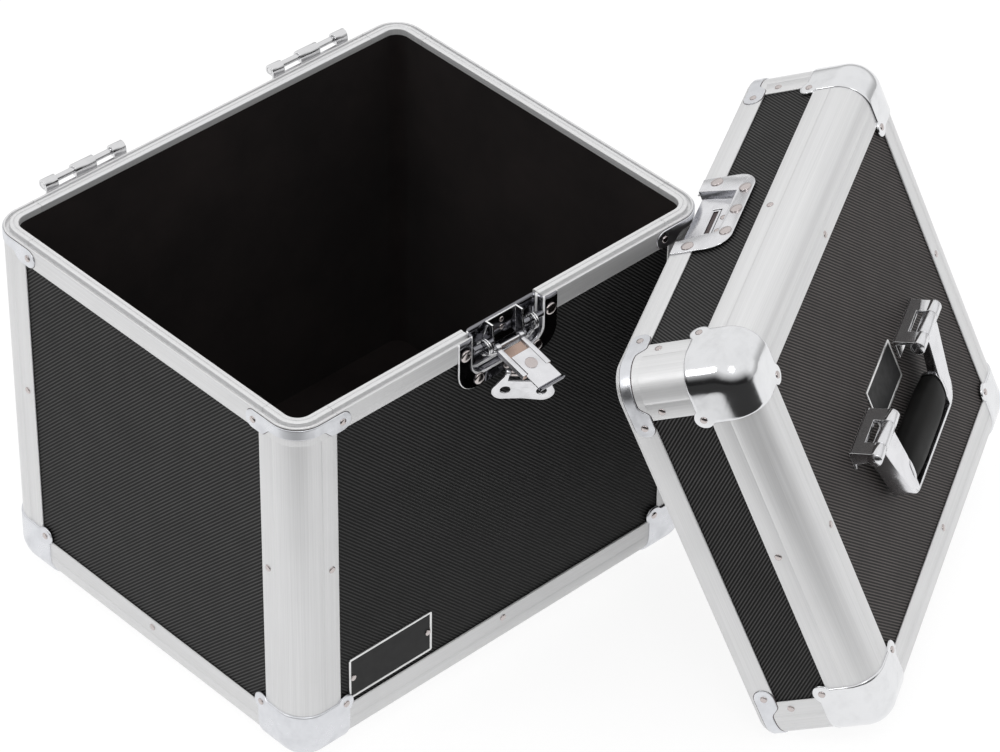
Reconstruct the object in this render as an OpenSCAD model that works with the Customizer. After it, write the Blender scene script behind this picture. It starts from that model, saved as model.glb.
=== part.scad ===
// Record carrying case: a panelled box with rounded metal edging, a butterfly
// latch and a lift-off lid with a folding handle. Lengths are in millimetres.
// The origin is on the floor under the middle of the box, the latch wall faces
// -Y, and the lid stands on its hinge hooks, leaning at the box's right front corner.

/* [Case] */
// Outside width of the case, along the latch wall
case_w = 350; // [310:5:420]
// Outside depth of the case, from the latch wall to the hinge wall
case_d = 294; // [250:2:360]
// Height of the box, from its base edging to its rim
box_h = 276; // [200:2:340]
// Height of the lid, from its rim to its top
lid_h = 86; // [76:1:120]

/* [Walls] */
// Thickness of the wall, floor and top panels
panel_t = 6.5; // [5:0.5:9]
// Thickness of the soft lining
lining_t = 2; // [1:0.5:4]

/* [Edging] */
// Outer radius of the rounded edging
edge_r = 20; // [16:1:24]
// Width of the edging on each face, from the sharp corner
edge_leg = 34; // [30:1:40]
// Thickness of the edging's sheet
skin_t = 1.5; // [1:0.1:2]
// Distance of the edging's rivets from its free edge
edge_rivet_in = 6; // [4:0.5:8]

/* [Rim] */
// Height of the rim rail on the outside
rim_band = 15; // [13:0.5:18]
// Distance from the rim down to the panels' edge
rim_seat = 4; // [3.5:0.5:6]
// Width of the groove in the box's rim
groove_w = 2.5; // [2:0.1:3]
// Depth of the groove in the box's rim
groove_depth = 2.5; // [1.5:0.1:3]
// Height of the inner ridge over the box's rim
ridge_h = 1; // [0.5:0.1:1.5]
// Side clearance of the lid's tongue in the box's groove
tongue_gap = 0.4; // [0.2:0.1:0.6]

/* [Ball corners] */
// Thickness of the pressed ball corner's sheet
corner_t = 1.2; // [0.8:0.1:1.6]
// Reach of the ball corner along each edge
corner_reach = 41; // [38:0.5:48]
// Distance of the ball corner's rivets from both edges
lobe_in = 37.5; // [35:0.5:40]
// Radius of the lobe around each of those rivets
lobe_r = 6.5; // [5:0.5:8]

/* [Rim corners] */
// Thickness of the rim corner's outer sheet
bracket_t = 0.8; // [0.5:0.1:1.5]
// Distance of the ear's rivet from the corner
ear_in = 38; // [36:0.5:44]
// Height of the narrow band round the corner
ear_band = 9; // [7:0.5:10]

/* [Rivets] */
// Radius of an edging rivet's head
rivet_r = 2.4; // [2:0.1:3]
// Height of an edging rivet's head
rivet_h = 0.9; // [0.6:0.1:1.4]
// Radius of a flange plate rivet's head
plate_rivet_r = 4.3; // [3.6:0.1:4.6]
// Height of a flange plate rivet's head
plate_rivet_h = 1.5; // [0.8:0.1:1.8]

/* [Latch] */
// Width of the latch's and keeper's flange plate
plate_w = 84; // [78:1:100]
// Height of the latch's and keeper's flange plate
plate_h = 40; // [38:1:46]
// Radius of the flange plate's round corners
plate_r = 15; // [10:1:18]
// Thickness of the latch's pressed sheet
sheet_t = 1.2; // [0.8:0.1:1.5]
// Inside width of the dish
dish_w = 58.5; // [54:0.5:64]
// Inside height of the dish
dish_h = 30; // [27:0.5:33]
// Inside radius of the dish's lower corners
dish_r = 9; // [6:0.5:11]
// Inside width of the cradle that holds the draw frame
cradle_w = 24; // [22:0.5:28]
// Height of the latch's pivot below the rim
pivot_down = 18; // [17:0.5:20]
// Distance of the latch's pivot outside the wall
pivot_out = 1.5; // [1:0.1:2.5]
// Radius of the latch's pivot pin
pivot_r = 1.25; // [1:0.05:1.4]
// Side clearance of the draw frame in the cradle
cradle_gap = 0.4; // [0.3:0.1:0.8]
// Angle of the open draw frame below level
latch_droop = 15; // [12:1:18]
// Length of the draw frame's arms from the pivot
arm_len = 26.6; // [25:0.2:30]
// Width of one arm of the draw frame
arm_w = 3.4; // [2.5:0.1:4]
// Depth of the draw frame
frame_depth = 3.6; // [3:0.1:4.5]
// Distance of the wing's spindle from the pivot
spindle_at = 20.9; // [20:0.1:22]
// Radius of the wing's spindle
spindle_r = 2; // [1.6:0.1:2.4]
// Radius of the spindle's round head
spindle_head_r = 4.2; // [3.6:0.1:4.6]
// Distance from the pivot to the tongue's tip
tongue_reach = 41.6; // [40:0.2:44]
// Distance from the pivot to the tongue's inner end
tongue_start = 10.9; // [9:0.1:12]
// Width of the tongue between the arms
tongue_w = 15.4; // [13:0.2:15.6]
// Width of the tongue's wide end
tongue_end_w = 19.6; // [17:0.2:22]
// Depth of the tongue's face under the arms' edges
tongue_drop = 0.8; // [0.6:0.1:0.9]
// Height of the hook at the tongue's tip
hook_h = 2.4; // [1.5:0.1:3]
// Slide of the tongue outwards as the wing turns
tongue_travel = 3; // [1:0.2:4]
// Distance of the spring studs below the rim
stud_down = 11.5; // [9:0.5:12]
// Radius of the spring studs
stud_r = 2.4; // [2:0.1:2.6]
// Diameter of the latch springs' wire
wire_d = 1.3; // [1:0.1:1.5]
// Radius of the latch springs' turns, to the middle of the wire
coil_r = 3.4; // [3.4:0.1:4]
// Pitch of the latch springs' turns
coil_pitch = 1.9; // [1.8:0.1:2.4]
// Turns of each latch spring
coil_turns = 3; // [2:1:4]

/* [Wing] */
// Width over the wing's lobes
wing_w = 40.5; // [39:0.5:43]
// Height of the wing below its pin
wing_h = 25.4; // [23:0.2:26]
// Radius of the wing's lobes
wing_lobe_r = 7.6; // [6.6:0.2:8.4]
// Radius of the holes in the wing's lobes
wing_hole_r = 3.3; // [2.5:0.1:4]
// Height of the holes over the middle of the lobes
wing_hole_up = 1.2; // [0:0.1:2]
// Depth of the opening between the wing's necks
wing_throat = 8; // [6.5:0.5:9]
// Width of one neck of the wing
neck_w = 2.8; // [2:0.2:3.4]
// Thickness of the wing's plate
wing_t = 1.4; // [1:0.1:1.8]
// Radius of the wing's pin
wing_pin_r = 1; // [0.8:0.1:1.1]
// Width of the spindle's barrel between the wing's necks
block_w = 22.4; // [20:0.2:23]
// Radius of the spindle's barrel round the wing's pin
block_r = 2.6; // [2.3:0.1:3]
// Gap between the draw frame and the spindle's barrel
wing_gap = 3.2; // [1:0.1:4]
// Turn of the wing in the plane of the draw frame
wing_turn = 35; // [25:1:38]

/* [Keeper] */
// Width of the keeper's pocket at the rim
pocket_w = 56; // [52:1:60]
// Width of the keeper's pocket at its upper end
pocket_top_w = 46; // [42:1:50]
// Height of the keeper's pocket
pocket_h = 28.5; // [26:0.5:31]
// Depth of the keeper's pocket behind the wall's face
pocket_depth = 5.6; // [4:0.1:6]
// Width of the hook's slot in the keeper
slot_w = 29; // [24:1:34]
// Height of the hook's slot above the rim
slot_at = 12; // [10:0.5:14]
// Height of the hook's slot
slot_h = 6.5; // [5:0.5:8]

/* [Hinges] */
// Distance of each hinge's middle from the side of the case
hinge_in = 79; // [76:1:90]
// Length of a hinge rod
rod_len = 66; // [60:1:72]
// Radius of a hinge rod
rod_r = 2.3; // [2:0.1:2.6]
// Height of the hinge rods over the box's rim
rod_up = 3.5; // [3:0.1:4.5]
// Distance of the hinge rods outside the wall
rod_out = 4.2; // [4.2:0.1:5]
// Outer radius of the hinge knuckles
knuckle_r = 3.9; // [3.7:0.1:4]
// Width of the end knuckles
end_knuckle_w = 10; // [8:0.5:11]
// Width of the middle knuckle
mid_knuckle_w = 17; // [14:0.5:18]
// Thickness of the lid's hooks round the rod
hook_t = 1; // [0.8:0.1:1.2]
// Width of one hook of the lid
hook_w = 12; // [8:0.5:12.5]
// Height of the hinge leaves
leaf_h = 26; // [22:1:32]
// Thickness of the hinge leaves
leaf_t = 1.5; // [1:0.1:1.8]

/* [Handle] */
// Length of one handle bracket
bracket_len = 48; // [40:1:50]
// Distance of the brackets' inner ends from the middle
bracket_in = 36; // [32:1:40]
// Height of the handle's pivot over the lid
grip_pivot_h = 15.3; // [14.8:0.1:18]
// Radius of the handle pins
grip_pin_r = 2.25; // [1.8:0.05:2.5]
// Outer radius of the barrels round the handle pins
barrel_r = 5; // [4.6:0.1:5.2]
// Width of the handle bail's barrels
bail_barrel_w = 23; // [20:0.5:26]
// Distance of the brackets' feet behind the pivot
foot_back = 9.5; // [8.5:0.5:12]
// Distance of the brackets' feet in front of the pivot
foot_front = 5; // [3:0.5:8]
// Sheet thickness of the brackets
bracket_sheet = 1.5; // [1.2:0.1:2]
// Sheet thickness of the bail
bail_t = 2; // [1.5:0.1:2.5]
// Reach of the bail from its pivot
bail_reach = 54; // [50:1:62]
// Depth of the bail's side flanges under its top
bail_depth = 14; // [11:0.5:14.5]
// Radius of the bail's far corners
bail_round = 15; // [8:0.5:18]
// Half width of the bail at its far corners
bail_far = 59.5; // [54:0.5:64]
// Length of the rubber grip
grip_len = 88; // [80:1:94]
// Width of the rubber grip
grip_w = 25; // [22:0.5:26]
// Thickness of the rubber grip
grip_t = 17.2; // [15:0.2:17.6]
// Rounding of the rubber grip
grip_r = 6; // [4:0.5:7]

/* [Label plates] */
// Width of the box's bare label plate
plate1_w = 71; // [50:1:80]
// Height of the box's bare label plate
plate1_h = 33; // [20:1:40]
// Gap between the upright and the box's label plate
plate1_side = 7.5; // [1:0.5:20]
// Gap between the base edging and the box's label plate
plate1_gap = 3.5; // [1:0.5:10]
// Width of the lid's bare label plate
plate2_w = 60; // [50:1:66]
// Height of the lid's bare label plate
plate2_h = 30; // [20:1:32]
// Thickness of the label plates
label_t = 1; // [0.5:0.1:1.4]

/* [Lid beside the box] */
// Least lean of the standing lid from upright
least_lean = 22.96; // [22:0.1:28]
// Turn of the standing lid about the vertical
lid_yaw = 29.65; // [26:0.1:34]
// Where the lid's front rim meets the box's corner, from the lid's middle
lean_at = -9.4; // [-14:0.1:-4]
// Gap between the leaning lid and the box's corner
lean_gap = 0.4; // [0.3:0.1:1]

/* [Hidden] */

$fn = 48;
aluminium = "gainsboro";
chrome = "silver";
laminate = "dimgray";
cloth = "black";

pin_gap = 0.05;                            // running clearance of every pin in its hole
seat_gap = 0.3;                            // clearance between pieces that move past each other
base_z = corner_t;                         // the box stands on its ball corners
rim_z = base_z + box_h;                    // height of the box's rim
core_t = skin_t + panel_t;                 // edging sheet and panel together
wall_t = core_t + lining_t;                // whole wall
hinge_at = case_w / 2 - hinge_in;
ear_r = (rim_band - skin_t) / 2;           // rounding of a rim corner's ear
ear_mid = rim_band - ear_r;                // height of the ear's middle from the rim
dish_depth = core_t - sheet_t;             // depth of the dish behind the wall's face
latch_y = -case_d / 2 - pivot_out;         // place of the latch's pivot
latch_z = rim_z - pivot_down;
frame_w = cradle_w - 2 * cradle_gap;       // outer width of the draw frame
eye_r = pivot_r + pin_gap + sheet_t;       // eyes of the draw frame and cradle round the pin
block_drop = frame_depth + seat_gap;       // underside clearance of the draw frame
wing_pin_drop = frame_depth + wing_gap + block_r;
shoulder_at = arm_len + seat_gap;
head_z = seat_gap - tongue_drop;           // underside of the spindle's head
rod_outer_r = rod_r + pin_gap * 2 + hook_t;
// A lid deeper than the box is high leans more, so that its edge stays under the box's rim
lean_rise = rod_out * cos(least_lean) - rod_up * sin(least_lean) + rod_outer_r;
lid_lean = max(least_lean, acos(min(1, (rim_z - lean_rise) / case_d)));
lid_rise = rod_out * cos(lid_lean) - rod_up * sin(lid_lean) + rod_outer_r;
lid_edge_z = lid_rise + case_d * cos(lid_lean);
lid_x = [-cos(lid_yaw), -sin(lid_yaw), 0];
lid_y = [sin(lid_yaw) * sin(lid_lean), -cos(lid_yaw) * sin(lid_lean), -cos(lid_lean)];
lean_z = lid_edge_z - pocket_depth * cos(lid_lean);
lean_over = max(0, lean_z - rim_z) * tan(lid_lean) + pocket_depth * sin(lid_lean);
lean_r = edge_r + bracket_t + lean_gap - lean_over;
lean_from = [case_w / 2 - edge_r + lean_r * sin(lid_yaw), -case_d / 2 + edge_r - lean_r * cos(lid_yaw),
             lid_edge_z];
lid_place = lean_from - lean_at * lid_x + case_d / 2 * lid_y;
bail_top = barrel_r - 1.8;                  // top of the bail's sheet over the pivot
bail_barrel_at = bracket_in + (bracket_len - bail_barrel_w) / 2;
grip_back = bail_reach - bail_t - grip_w;  // inner side of the grip
grip_low = bail_top + 1.3 - grip_t;        // underside of the grip, from the pivot

// ---- frames and small helpers ----

// Wall k (0 front, 1 right, 2 back, 3 left): x runs along it, -y points out of it
module on_wall(k) {
    rotate([0, 0, 90 * k]) translate([0, -(k % 2 == 0 ? case_d : case_w) / 2, 0]) children();
}

// Corner k (0 front left, 1 front right, 2 back right, 3 back left): sharp corner at the origin
module at_corner(k) {
    x = (k == 1 || k == 2 ? 1 : -1) * case_w / 2;
    y = (k > 1 ? 1 : -1) * case_d / 2;
    translate([x, y, 0]) rotate([0, 0, 90 * k]) children();
}

// An outline drawn as (inwards, up) and drawn out along x
module along_x(len) rotate([90, 0, 90]) linear_extrude(len) children();

// An outline drawn as (along the wall, up) and given a thickness outwards
module outwards(t) rotate([90, 0, 0]) linear_extrude(t) children();

module in_lid() translate(lid_place) rotate([lid_lean - 90, 0, 180 + lid_yaw]) children();

module in_latch() translate([0, latch_y, latch_z]) rotate([latch_droop, 0, 0]) children();

// The wing's frame: its pin lies along x and the plate hangs down
module in_wing() {
    in_latch() translate([0, -spindle_at, -wing_pin_drop]) rotate([0, 0, -wing_turn]) children();
}

function wall_len(k) = k % 2 == 0 ? case_w : case_d;

// Domed rivet head on the plane z = 0
module rivet(r = rivet_r, h = rivet_h) {
    dome = (r * r + h * h) / (2 * h);
    rotate_extrude() intersection() {
        translate([0, h - dome]) circle(dome);
        square([r, h]);
    }
}

module wall_rivet(along, up, out, r = rivet_r, h = rivet_h)
    translate([along, -out, up]) rotate([90, 0, 0]) rivet(r, h);

// Rectangle with round corners, centred
module round_rect(w, h, r) {
    square([w - 2 * r, h], center = true);
    square([w, h - 2 * r], center = true);
    for (x = [-1, 1], y = [-1, 1]) translate([x * (w / 2 - r), y * (h / 2 - r)]) circle(r);
}

// ---- edging, panels and linings ----

// Cross-section of the edging's hollow round part, with its sharp corner at the origin
module edge_round() {
    translate([edge_r, edge_r]) difference() {
        quarter_disc(edge_r);
        quarter_disc(edge_r - core_t);
        intersection() {
            quarter_disc(edge_r - skin_t);
            translate([-edge_r - skin_t, -edge_r - skin_t]) square(edge_r);
            difference() {
                circle(edge_r);
                circle(edge_r - core_t + skin_t);
            }
        }
    }
}
// Cross-section of a level edging's hollow round part, whose inside is square for the lining
module edge_square() {
    inner = core_t - skin_t;
    difference() {
        translate([edge_r, edge_r]) quarter_disc(edge_r);
        translate([core_t, core_t]) square(edge_r);
        difference() {
            translate([edge_r, edge_r]) quarter_disc(edge_r - skin_t);
            translate([inner, inner]) square(edge_r);
            translate([edge_r - skin_t, 0]) square(edge_r);
            translate([0, edge_r - skin_t]) square(edge_r);
        }
    }
}
module quarter_disc(r) {
    intersection() {
        circle(r);
        translate([-r, -r]) square(r);
    }
}
module side_flange() translate([0, edge_r]) square([skin_t, edge_leg - edge_r]);
module flat_flange() translate([edge_r, 0]) square([edge_leg - edge_r, skin_t]);

// Upright between two heights: its flanges stop at the level edging's flange
module edging_upright(low, high, flange_low, flange_high) {
    translate([0, 0, low]) linear_extrude(high - low) edge_round();
    translate([0, 0, flange_low]) linear_extrude(flange_high - flange_low) {
        side_flange();
        flat_flange();
    }
}

// Level edging of wall k: on the side walls its flat flange stops at the front and back ones
module edging_level(k) {
    len = wall_len(k) - 2 * edge_r;
    flat_len = k % 2 == 0 ? len : wall_len(k) - 2 * edge_leg;
    translate([-len / 2, 0, 0]) along_x(len) {
        edge_square();
        side_flange();
    }
    translate([-flat_len / 2, 0, 0]) along_x(flat_len) flat_flange();
}

module upright(k) {
    color(aluminium) at_corner(k) edging_upright(base_z + edge_r, rim_z - rim_band,
        base_z + edge_leg, rim_z - rim_band);
}
module base_edging(k) color(aluminium) on_wall(k) translate([0, 0, base_z]) edging_level(k);

module wall_panel(k) {
    len = wall_len(k) - 2 * edge_r;
    translate([-len / 2, skin_t, base_z + edge_r])
        cube([len, panel_t, box_h - edge_r - rim_seat]);
}

module front_panel() {
    color(laminate) on_wall(0) difference() {
        wall_panel(0);
        translate([0, 0, rim_z]) dish_block(sheet_t + 0.1);
    }
}
module back_panel() color(laminate) on_wall(2) wall_panel(2);
module left_panel() color(laminate) on_wall(3) wall_panel(3);
module right_panel() color(laminate) on_wall(1) wall_panel(1);
module floor_panel() {
    color(laminate) translate([0, 0, base_z + skin_t + panel_t / 2])
        cube([case_w - 2 * edge_r, case_d - 2 * edge_r, panel_t], center = true);
}

// Lining of the walls inside: a flat sheet on each wall and a bent one in each corner
module lining_sleeve(height) {
    for (k = [0:3]) {
        len = wall_len(k) - 2 * edge_r;
        on_wall(k) translate([-len / 2, core_t, 0]) cube([len, lining_t, height]);
        at_corner(k) translate([edge_r, edge_r, 0]) linear_extrude(height) difference() {
            quarter_disc(edge_r - core_t);
            quarter_disc(edge_r - wall_t);
        }
    }
}
module lining_sheet() {
    linear_extrude(lining_t) round_rect(case_w - 2 * wall_t, case_d - 2 * wall_t, edge_r - wall_t);
}
module wall_lining() {
    color(cloth) translate([0, 0, base_z + core_t]) lining_sleeve(box_h - rim_seat - core_t);
}
module floor_lining() color(cloth) translate([0, 0, base_z + core_t]) lining_sheet();

// ---- rim ----

// Cross-section of the box's rim rail: outer flange, groove and inner ridge
module box_rail_section() {
    ridge_at = skin_t + groove_w;
    translate([0, -rim_band]) square([skin_t, rim_band]);
    translate([0, -rim_seat]) square([wall_t, rim_seat - groove_depth]);
    translate([ridge_at, -rim_seat]) square([wall_t - ridge_at, rim_seat + ridge_h]);
}

// Cross-section of the lid's rim rail, whose tongue drops into the box's groove
module lid_rail_section() {
    tongue_w = groove_w - 2 * tongue_gap;
    land = ridge_h + tongue_gap;
    square([skin_t, rim_band]);
    translate([0, land]) square([wall_t, rim_seat - land]);
    translate([skin_t + tongue_gap, tongue_gap - groove_depth])
        square([tongue_w, groove_depth - tongue_gap + land]);
}

// Straight rail between two rim corners, or its two lengths beside a gap for the latch
module rail(k, gap) {
    len = wall_len(k) - 2 * edge_leg;
    if (gap == 0) translate([-len / 2, 0, 0]) along_x(len) children();
    if (gap > 0) for (s = [0, 1]) mirror([s, 0, 0])
        translate([gap / 2, 0, 0]) along_x((len - gap) / 2) children();
}

module box_rail(k, gap = 0) color(aluminium) on_wall(k) translate([0, 0, rim_z]) rail(k, gap)
    box_rail_section();
module lid_rail(k, gap = 0) color(aluminium) in_lid() on_wall(k) rail(k, gap) lid_rail_section();

// Rail section carried round the corner, with both legs out to the straight rails
module rail_corner() {
    leg = edge_leg - edge_r;
    translate([edge_r, edge_r, 0]) rotate_extrude(angle = 90, start = 180)
        translate([edge_r, 0]) mirror([1, 0]) children();
    translate([edge_r, 0, 0]) along_x(leg) children();
    translate([0, edge_leg, 0]) rotate([90, 0, 0]) linear_extrude(leg) children();
}

// Outline of one ear, as (along, down from the rim), from the end of the round corner
module ear_outline() {
    neck = edge_r + (ear_in - edge_r) / 3;
    translate([edge_r, skin_t]) square([neck - edge_r, ear_band - skin_t]);
    translate([neck, skin_t]) square([ear_in - neck, 2 * ear_r]);
    translate([ear_in, ear_mid]) circle(ear_r);
}

// Outer sheet of a rim corner: a narrow band with two riveted ears
module ear_band_sheet() {
    translate([edge_r, edge_r, skin_t]) rotate_extrude(angle = 90, start = 180)
        translate([edge_r, 0]) square([bracket_t, ear_band - skin_t]);
    outwards(bracket_t) ear_outline();
    translate([-bracket_t, 0, 0]) along_x(bracket_t) ear_outline();
}

module box_rim_corners() {
    color(aluminium) for (k = [0:3]) at_corner(k) translate([0, 0, rim_z]) {
        rail_corner() box_rail_section();
        mirror([0, 0, 1]) ear_band_sheet();
    }
}
module lid_rim_corners() {
    color(aluminium) in_lid() for (k = [0:3]) at_corner(k) {
        rail_corner() lid_rail_section();
        ear_band_sheet();
    }
}

// ---- ball corners ----

// Pressed corner sheet over three rounded edges, with its sharp corner at the origin
module ball_corner() {
    reach = corner_reach - edge_r;
    translate([edge_r, edge_r, edge_r]) {
        rotate_extrude(angle = 90, start = 180) intersection() {
            difference() {
                circle(edge_r + corner_t);
                circle(edge_r);
            }
            translate([0, -edge_r - corner_t]) square(edge_r + corner_t);
        }
        corner_quarter(reach);
        rotate([90, 0, 90]) corner_quarter(reach);
        rotate([0, -90, -90]) corner_quarter(reach);
    }
    corner_plate(reach);
    rotate([90, 0, 90]) corner_plate(reach);
    rotate([0, -90, -90]) corner_plate(reach);
}

// Quarter tube along one edge
module corner_quarter(reach) {
    linear_extrude(reach) intersection() {
        difference() {
            circle(edge_r + corner_t);
            circle(edge_r);
        }
        translate([-edge_r - corner_t, -edge_r - corner_t]) square(edge_r + corner_t);
    }
}

// Flat part on the face z = 0, with the lobe round its rivet
module corner_plate(reach) {
    translate([0, 0, -corner_t]) linear_extrude(corner_t) {
        translate([edge_r, edge_r]) square(reach);
        translate([lobe_in, lobe_in]) circle(lobe_r);
    }
}

module box_ball_corners() {
    color(aluminium) for (k = [0:3]) at_corner(k) translate([0, 0, base_z]) difference() {
        ball_corner();
        translate([lobe_in, lobe_in, -2 * corner_t]) cylinder(r = rivet_r, h = 3 * corner_t);
    }
}
module lid_ball_corners() {
    color(aluminium) in_lid() for (k = [0:3]) at_corner(k) translate([0, 0, lid_h])
        rotate([0, 0, 90]) rotate([180, 0, 0]) rotate([0, 0, 0]) ball_corner();
}

// ---- lid body ----

module lid_top_panel() {
    color(laminate) in_lid() translate([0, 0, lid_h - skin_t - panel_t / 2])
        cube([case_w - 2 * edge_r, case_d - 2 * edge_r, panel_t], center = true);
}
module lid_panel(k) {
    len = wall_len(k) - 2 * edge_r;
    translate([-len / 2, skin_t, rim_seat]) cube([len, panel_t, lid_h - edge_r - rim_seat]);
}
module lid_front_panel() {
    color(laminate) in_lid() on_wall(0) difference() {
        lid_panel(0);
        pocket_block(sheet_t + 0.1);
    }
}
module lid_right_panel() color(laminate) in_lid() on_wall(1) lid_panel(1);
module lid_back_panel() color(laminate) in_lid() on_wall(2) lid_panel(2);
module lid_left_panel() color(laminate) in_lid() on_wall(3) lid_panel(3);
module lid_wall_lining() {
    color(cloth) in_lid() translate([0, 0, rim_seat]) lining_sleeve(lid_h - core_t - rim_seat);
}
module lid_top_lining() color(cloth) in_lid() translate([0, 0, lid_h - wall_t]) lining_sheet();

module lid_edging(k) {
    color(aluminium) in_lid() on_wall(k) translate([0, 0, lid_h]) mirror([0, 0, 1]) edging_level(k);
}
module lid_uprights() {
    color(aluminium) in_lid() for (k = [0:3]) at_corner(k)
        edging_upright(rim_band, lid_h - edge_r, rim_band, lid_h - edge_leg);
}

// ---- latch ----

// Flange plate outline with its straight edge on the rim, hanging down
module plate_outline() {
    square_h = plate_h - plate_r;
    translate([-plate_w / 2, -square_h]) square([plate_w, square_h]);
    translate([-plate_w / 2 + plate_r, -plate_h]) square([plate_w - 2 * plate_r, plate_h]);
    for (s = [-1, 1]) translate([s * (plate_w / 2 - plate_r), -square_h]) circle(plate_r);
}

module dish_outline(grow) {
    r = dish_r + grow;
    w = dish_w + 2 * grow;
    h = dish_h + grow;
    translate([-w / 2, -h + r]) square([w, h - r + ridge_h]);
    translate([-w / 2 + r, -h]) square([w - 2 * r, h]);
    for (s = [-1, 1]) translate([s * (w / 2 - r), -h + r]) circle(r);
}

// Space of the dish behind the wall's face, grown by its sheet
module dish_block(grow) translate([0, core_t, 0]) outwards(core_t) dish_outline(grow);

module latch_dish() {
    color(chrome) on_wall(0) translate([0, 0, rim_z]) difference() {
        union() {
            outwards(sheet_t) plate_outline();
            dish_block(sheet_t);
        }
        translate([0, dish_depth, 0]) outwards(core_t + sheet_t) dish_outline(0);
        translate([0, -1, ridge_h]) cube([dish_w, core_t, 2 * ridge_h], center = true);
    }
}

// Riveted channel in the dish, whose side walls carry the latch's pin and springs
module latch_cradle() {
    lip = dish_depth - sheet_t;
    ear_low = pivot_down + eye_r;
    color(chrome) on_wall(0) translate([0, 0, rim_z]) {
        translate([-cradle_w / 2 - sheet_t, lip, -ear_low])
            cube([cradle_w + 2 * sheet_t, sheet_t, ear_low]);
        difference() {
            for (x = [-cradle_w / 2 - sheet_t, cradle_w / 2]) translate([x, 0, 0]) along_x(sheet_t) {
                polygon([
                    [dish_depth, 0], [0, 0], [-pivot_out, -stud_down - stud_r],
                    [-pivot_out - eye_r, -pivot_down], [dish_depth, -ear_low]
                ]);
                translate([-pivot_out, -pivot_down]) circle(eye_r);
            }
            translate([-cradle_w, -pivot_out, -pivot_down]) rotate([0, 90, 0])
                cylinder(r = pivot_r + pin_gap, h = 2 * cradle_w);
        }
    }
}

// Pivot pin of the draw frame with two heads, and the studs inside the springs
module latch_pins() {
    half = cradle_w / 2 + sheet_t;
    stud_len = dish_w / 2 - half;
    color(chrome) on_wall(0) translate([0, 0, rim_z]) {
        translate([-half, -pivot_out, -pivot_down]) rotate([0, 90, 0]) cylinder(r = pivot_r, h = 2 * half);
        for (s = [0, 1]) mirror([s, 0, 0]) {
            translate([half, -pivot_out, -pivot_down]) rotate([0, 90, 0]) rivet(eye_r - 0.4, rivet_h);
            translate([half, 0, -stud_down]) rotate([0, 90, 0]) cylinder(r = stud_r, h = stud_len);
        }
    }
}

// Spring round a stud: a helix, with a straight tail up to the dish's back
coil_sides = 6;
coil_rings = 10;
coil_start = (cradle_w / 2 + sheet_t + dish_w / 2 - coil_turns * coil_pitch) / 2;
function coil_point(a) = [
    coil_start + coil_pitch * (coil_turns - a / 360),
    -coil_r * cos(a),
    -stud_down + coil_r * sin(a)
];
coil_path = concat(
    [coil_point(0) - [0, 0, wire_d]],
    [for (i = [0:coil_turns * coil_rings]) coil_point(i * 360 / coil_rings)],
    [coil_point(coil_turns * 360) + [-wire_d, wire_d, stud_down / 2]]
);
function unit(v) = v / norm(v);
function direction(path, i) = unit(path[min(i + 1, len(path) - 1)] - path[max(i - 1, 0)]);
function ring(path, i, r) =
    let (d = direction(path, i), a = unit(cross(d, [1, 0, 0])), b = cross(d, a))
    [for (j = [0:coil_sides - 1]) path[i] + r * (cos(360 * j / coil_sides) * a
        + sin(360 * j / coil_sides) * b)];
module wire(path, r) {
    n = len(path);
    s = coil_sides;
    points = [for (i = [0:n - 1]) each ring(path, i, r)];
    sides = [for (i = [0:n - 2], j = [0:s - 1], half = [0, 1])
        let (a = i * s + j, b = i * s + (j + 1) % s)
        half == 0 ? [a, b, b + s] : [a, b + s, a + s]];
    caps = [for (j = [1:s - 2]) each [[0, j + 1, j], [(n - 1) * s, (n - 1) * s + j, (n - 1) * s + j + 1]]];
    polyhedron(points, concat(sides, caps), convexity = 6);
}
module latch_springs() {
    color(chrome) on_wall(0) translate([0, 0, rim_z]) for (s = [0, 1]) mirror([s, 0, 0])
        wire(coil_path, wire_d / 2);
}
echo(latch_spring_least_gap = min([for (i = [0:coil_rings]) norm(coil_point(i * 360 / coil_rings)
    - coil_point((i + coil_rings) * 360 / coil_rings)) - wire_d]));

// Two arms on eyes, joined by a floor with the spindle's hole
module draw_frame() {
    color(chrome) in_latch() difference() {
        union() {
            for (x = [-frame_w / 2, frame_w / 2 - arm_w]) {
                translate([x, -arm_len, -frame_depth]) cube([arm_w, arm_len, frame_depth]);
                translate([x, 0, 0]) rotate([0, 90, 0]) cylinder(r = eye_r, h = arm_w);
            }
            translate([-frame_w / 2, -arm_len, -frame_depth]) cube([frame_w, arm_len - eye_r, sheet_t]);
        }
        translate([-frame_w, 0, 0]) rotate([0, 90, 0]) cylinder(r = pivot_r + pin_gap, h = 2 * frame_w);
        translate([0, -spindle_at, -frame_depth - 1]) cylinder(r = spindle_r + pin_gap, h = frame_depth);
    }
}

// Sliding tongue: narrow between the arms, wide beyond them, with a hook at its tip
module tongue() {
    slot = spindle_r + seat_gap;
    color(chrome) in_latch() difference() {
        union() {
            translate([-tongue_w / 2, -tongue_reach, -tongue_drop - sheet_t])
                cube([tongue_w, tongue_reach - tongue_start, sheet_t]);
            translate([-tongue_end_w / 2, -tongue_reach, -tongue_drop - sheet_t])
                cube([tongue_end_w, tongue_reach - shoulder_at, sheet_t]);
            translate([-tongue_end_w / 2, -tongue_reach, -tongue_drop - sheet_t])
                cube([tongue_end_w, sheet_t, hook_h + tongue_drop + sheet_t]);
            translate([-tongue_end_w / 2, -tongue_reach, hook_h - sheet_t])
                cube([tongue_end_w, 2 * sheet_t, sheet_t]);
        }
        translate([-slot, -spindle_at - slot, -frame_depth])
            cube([2 * slot, 2 * slot + tongue_travel, frame_depth]);
    }
}

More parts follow.
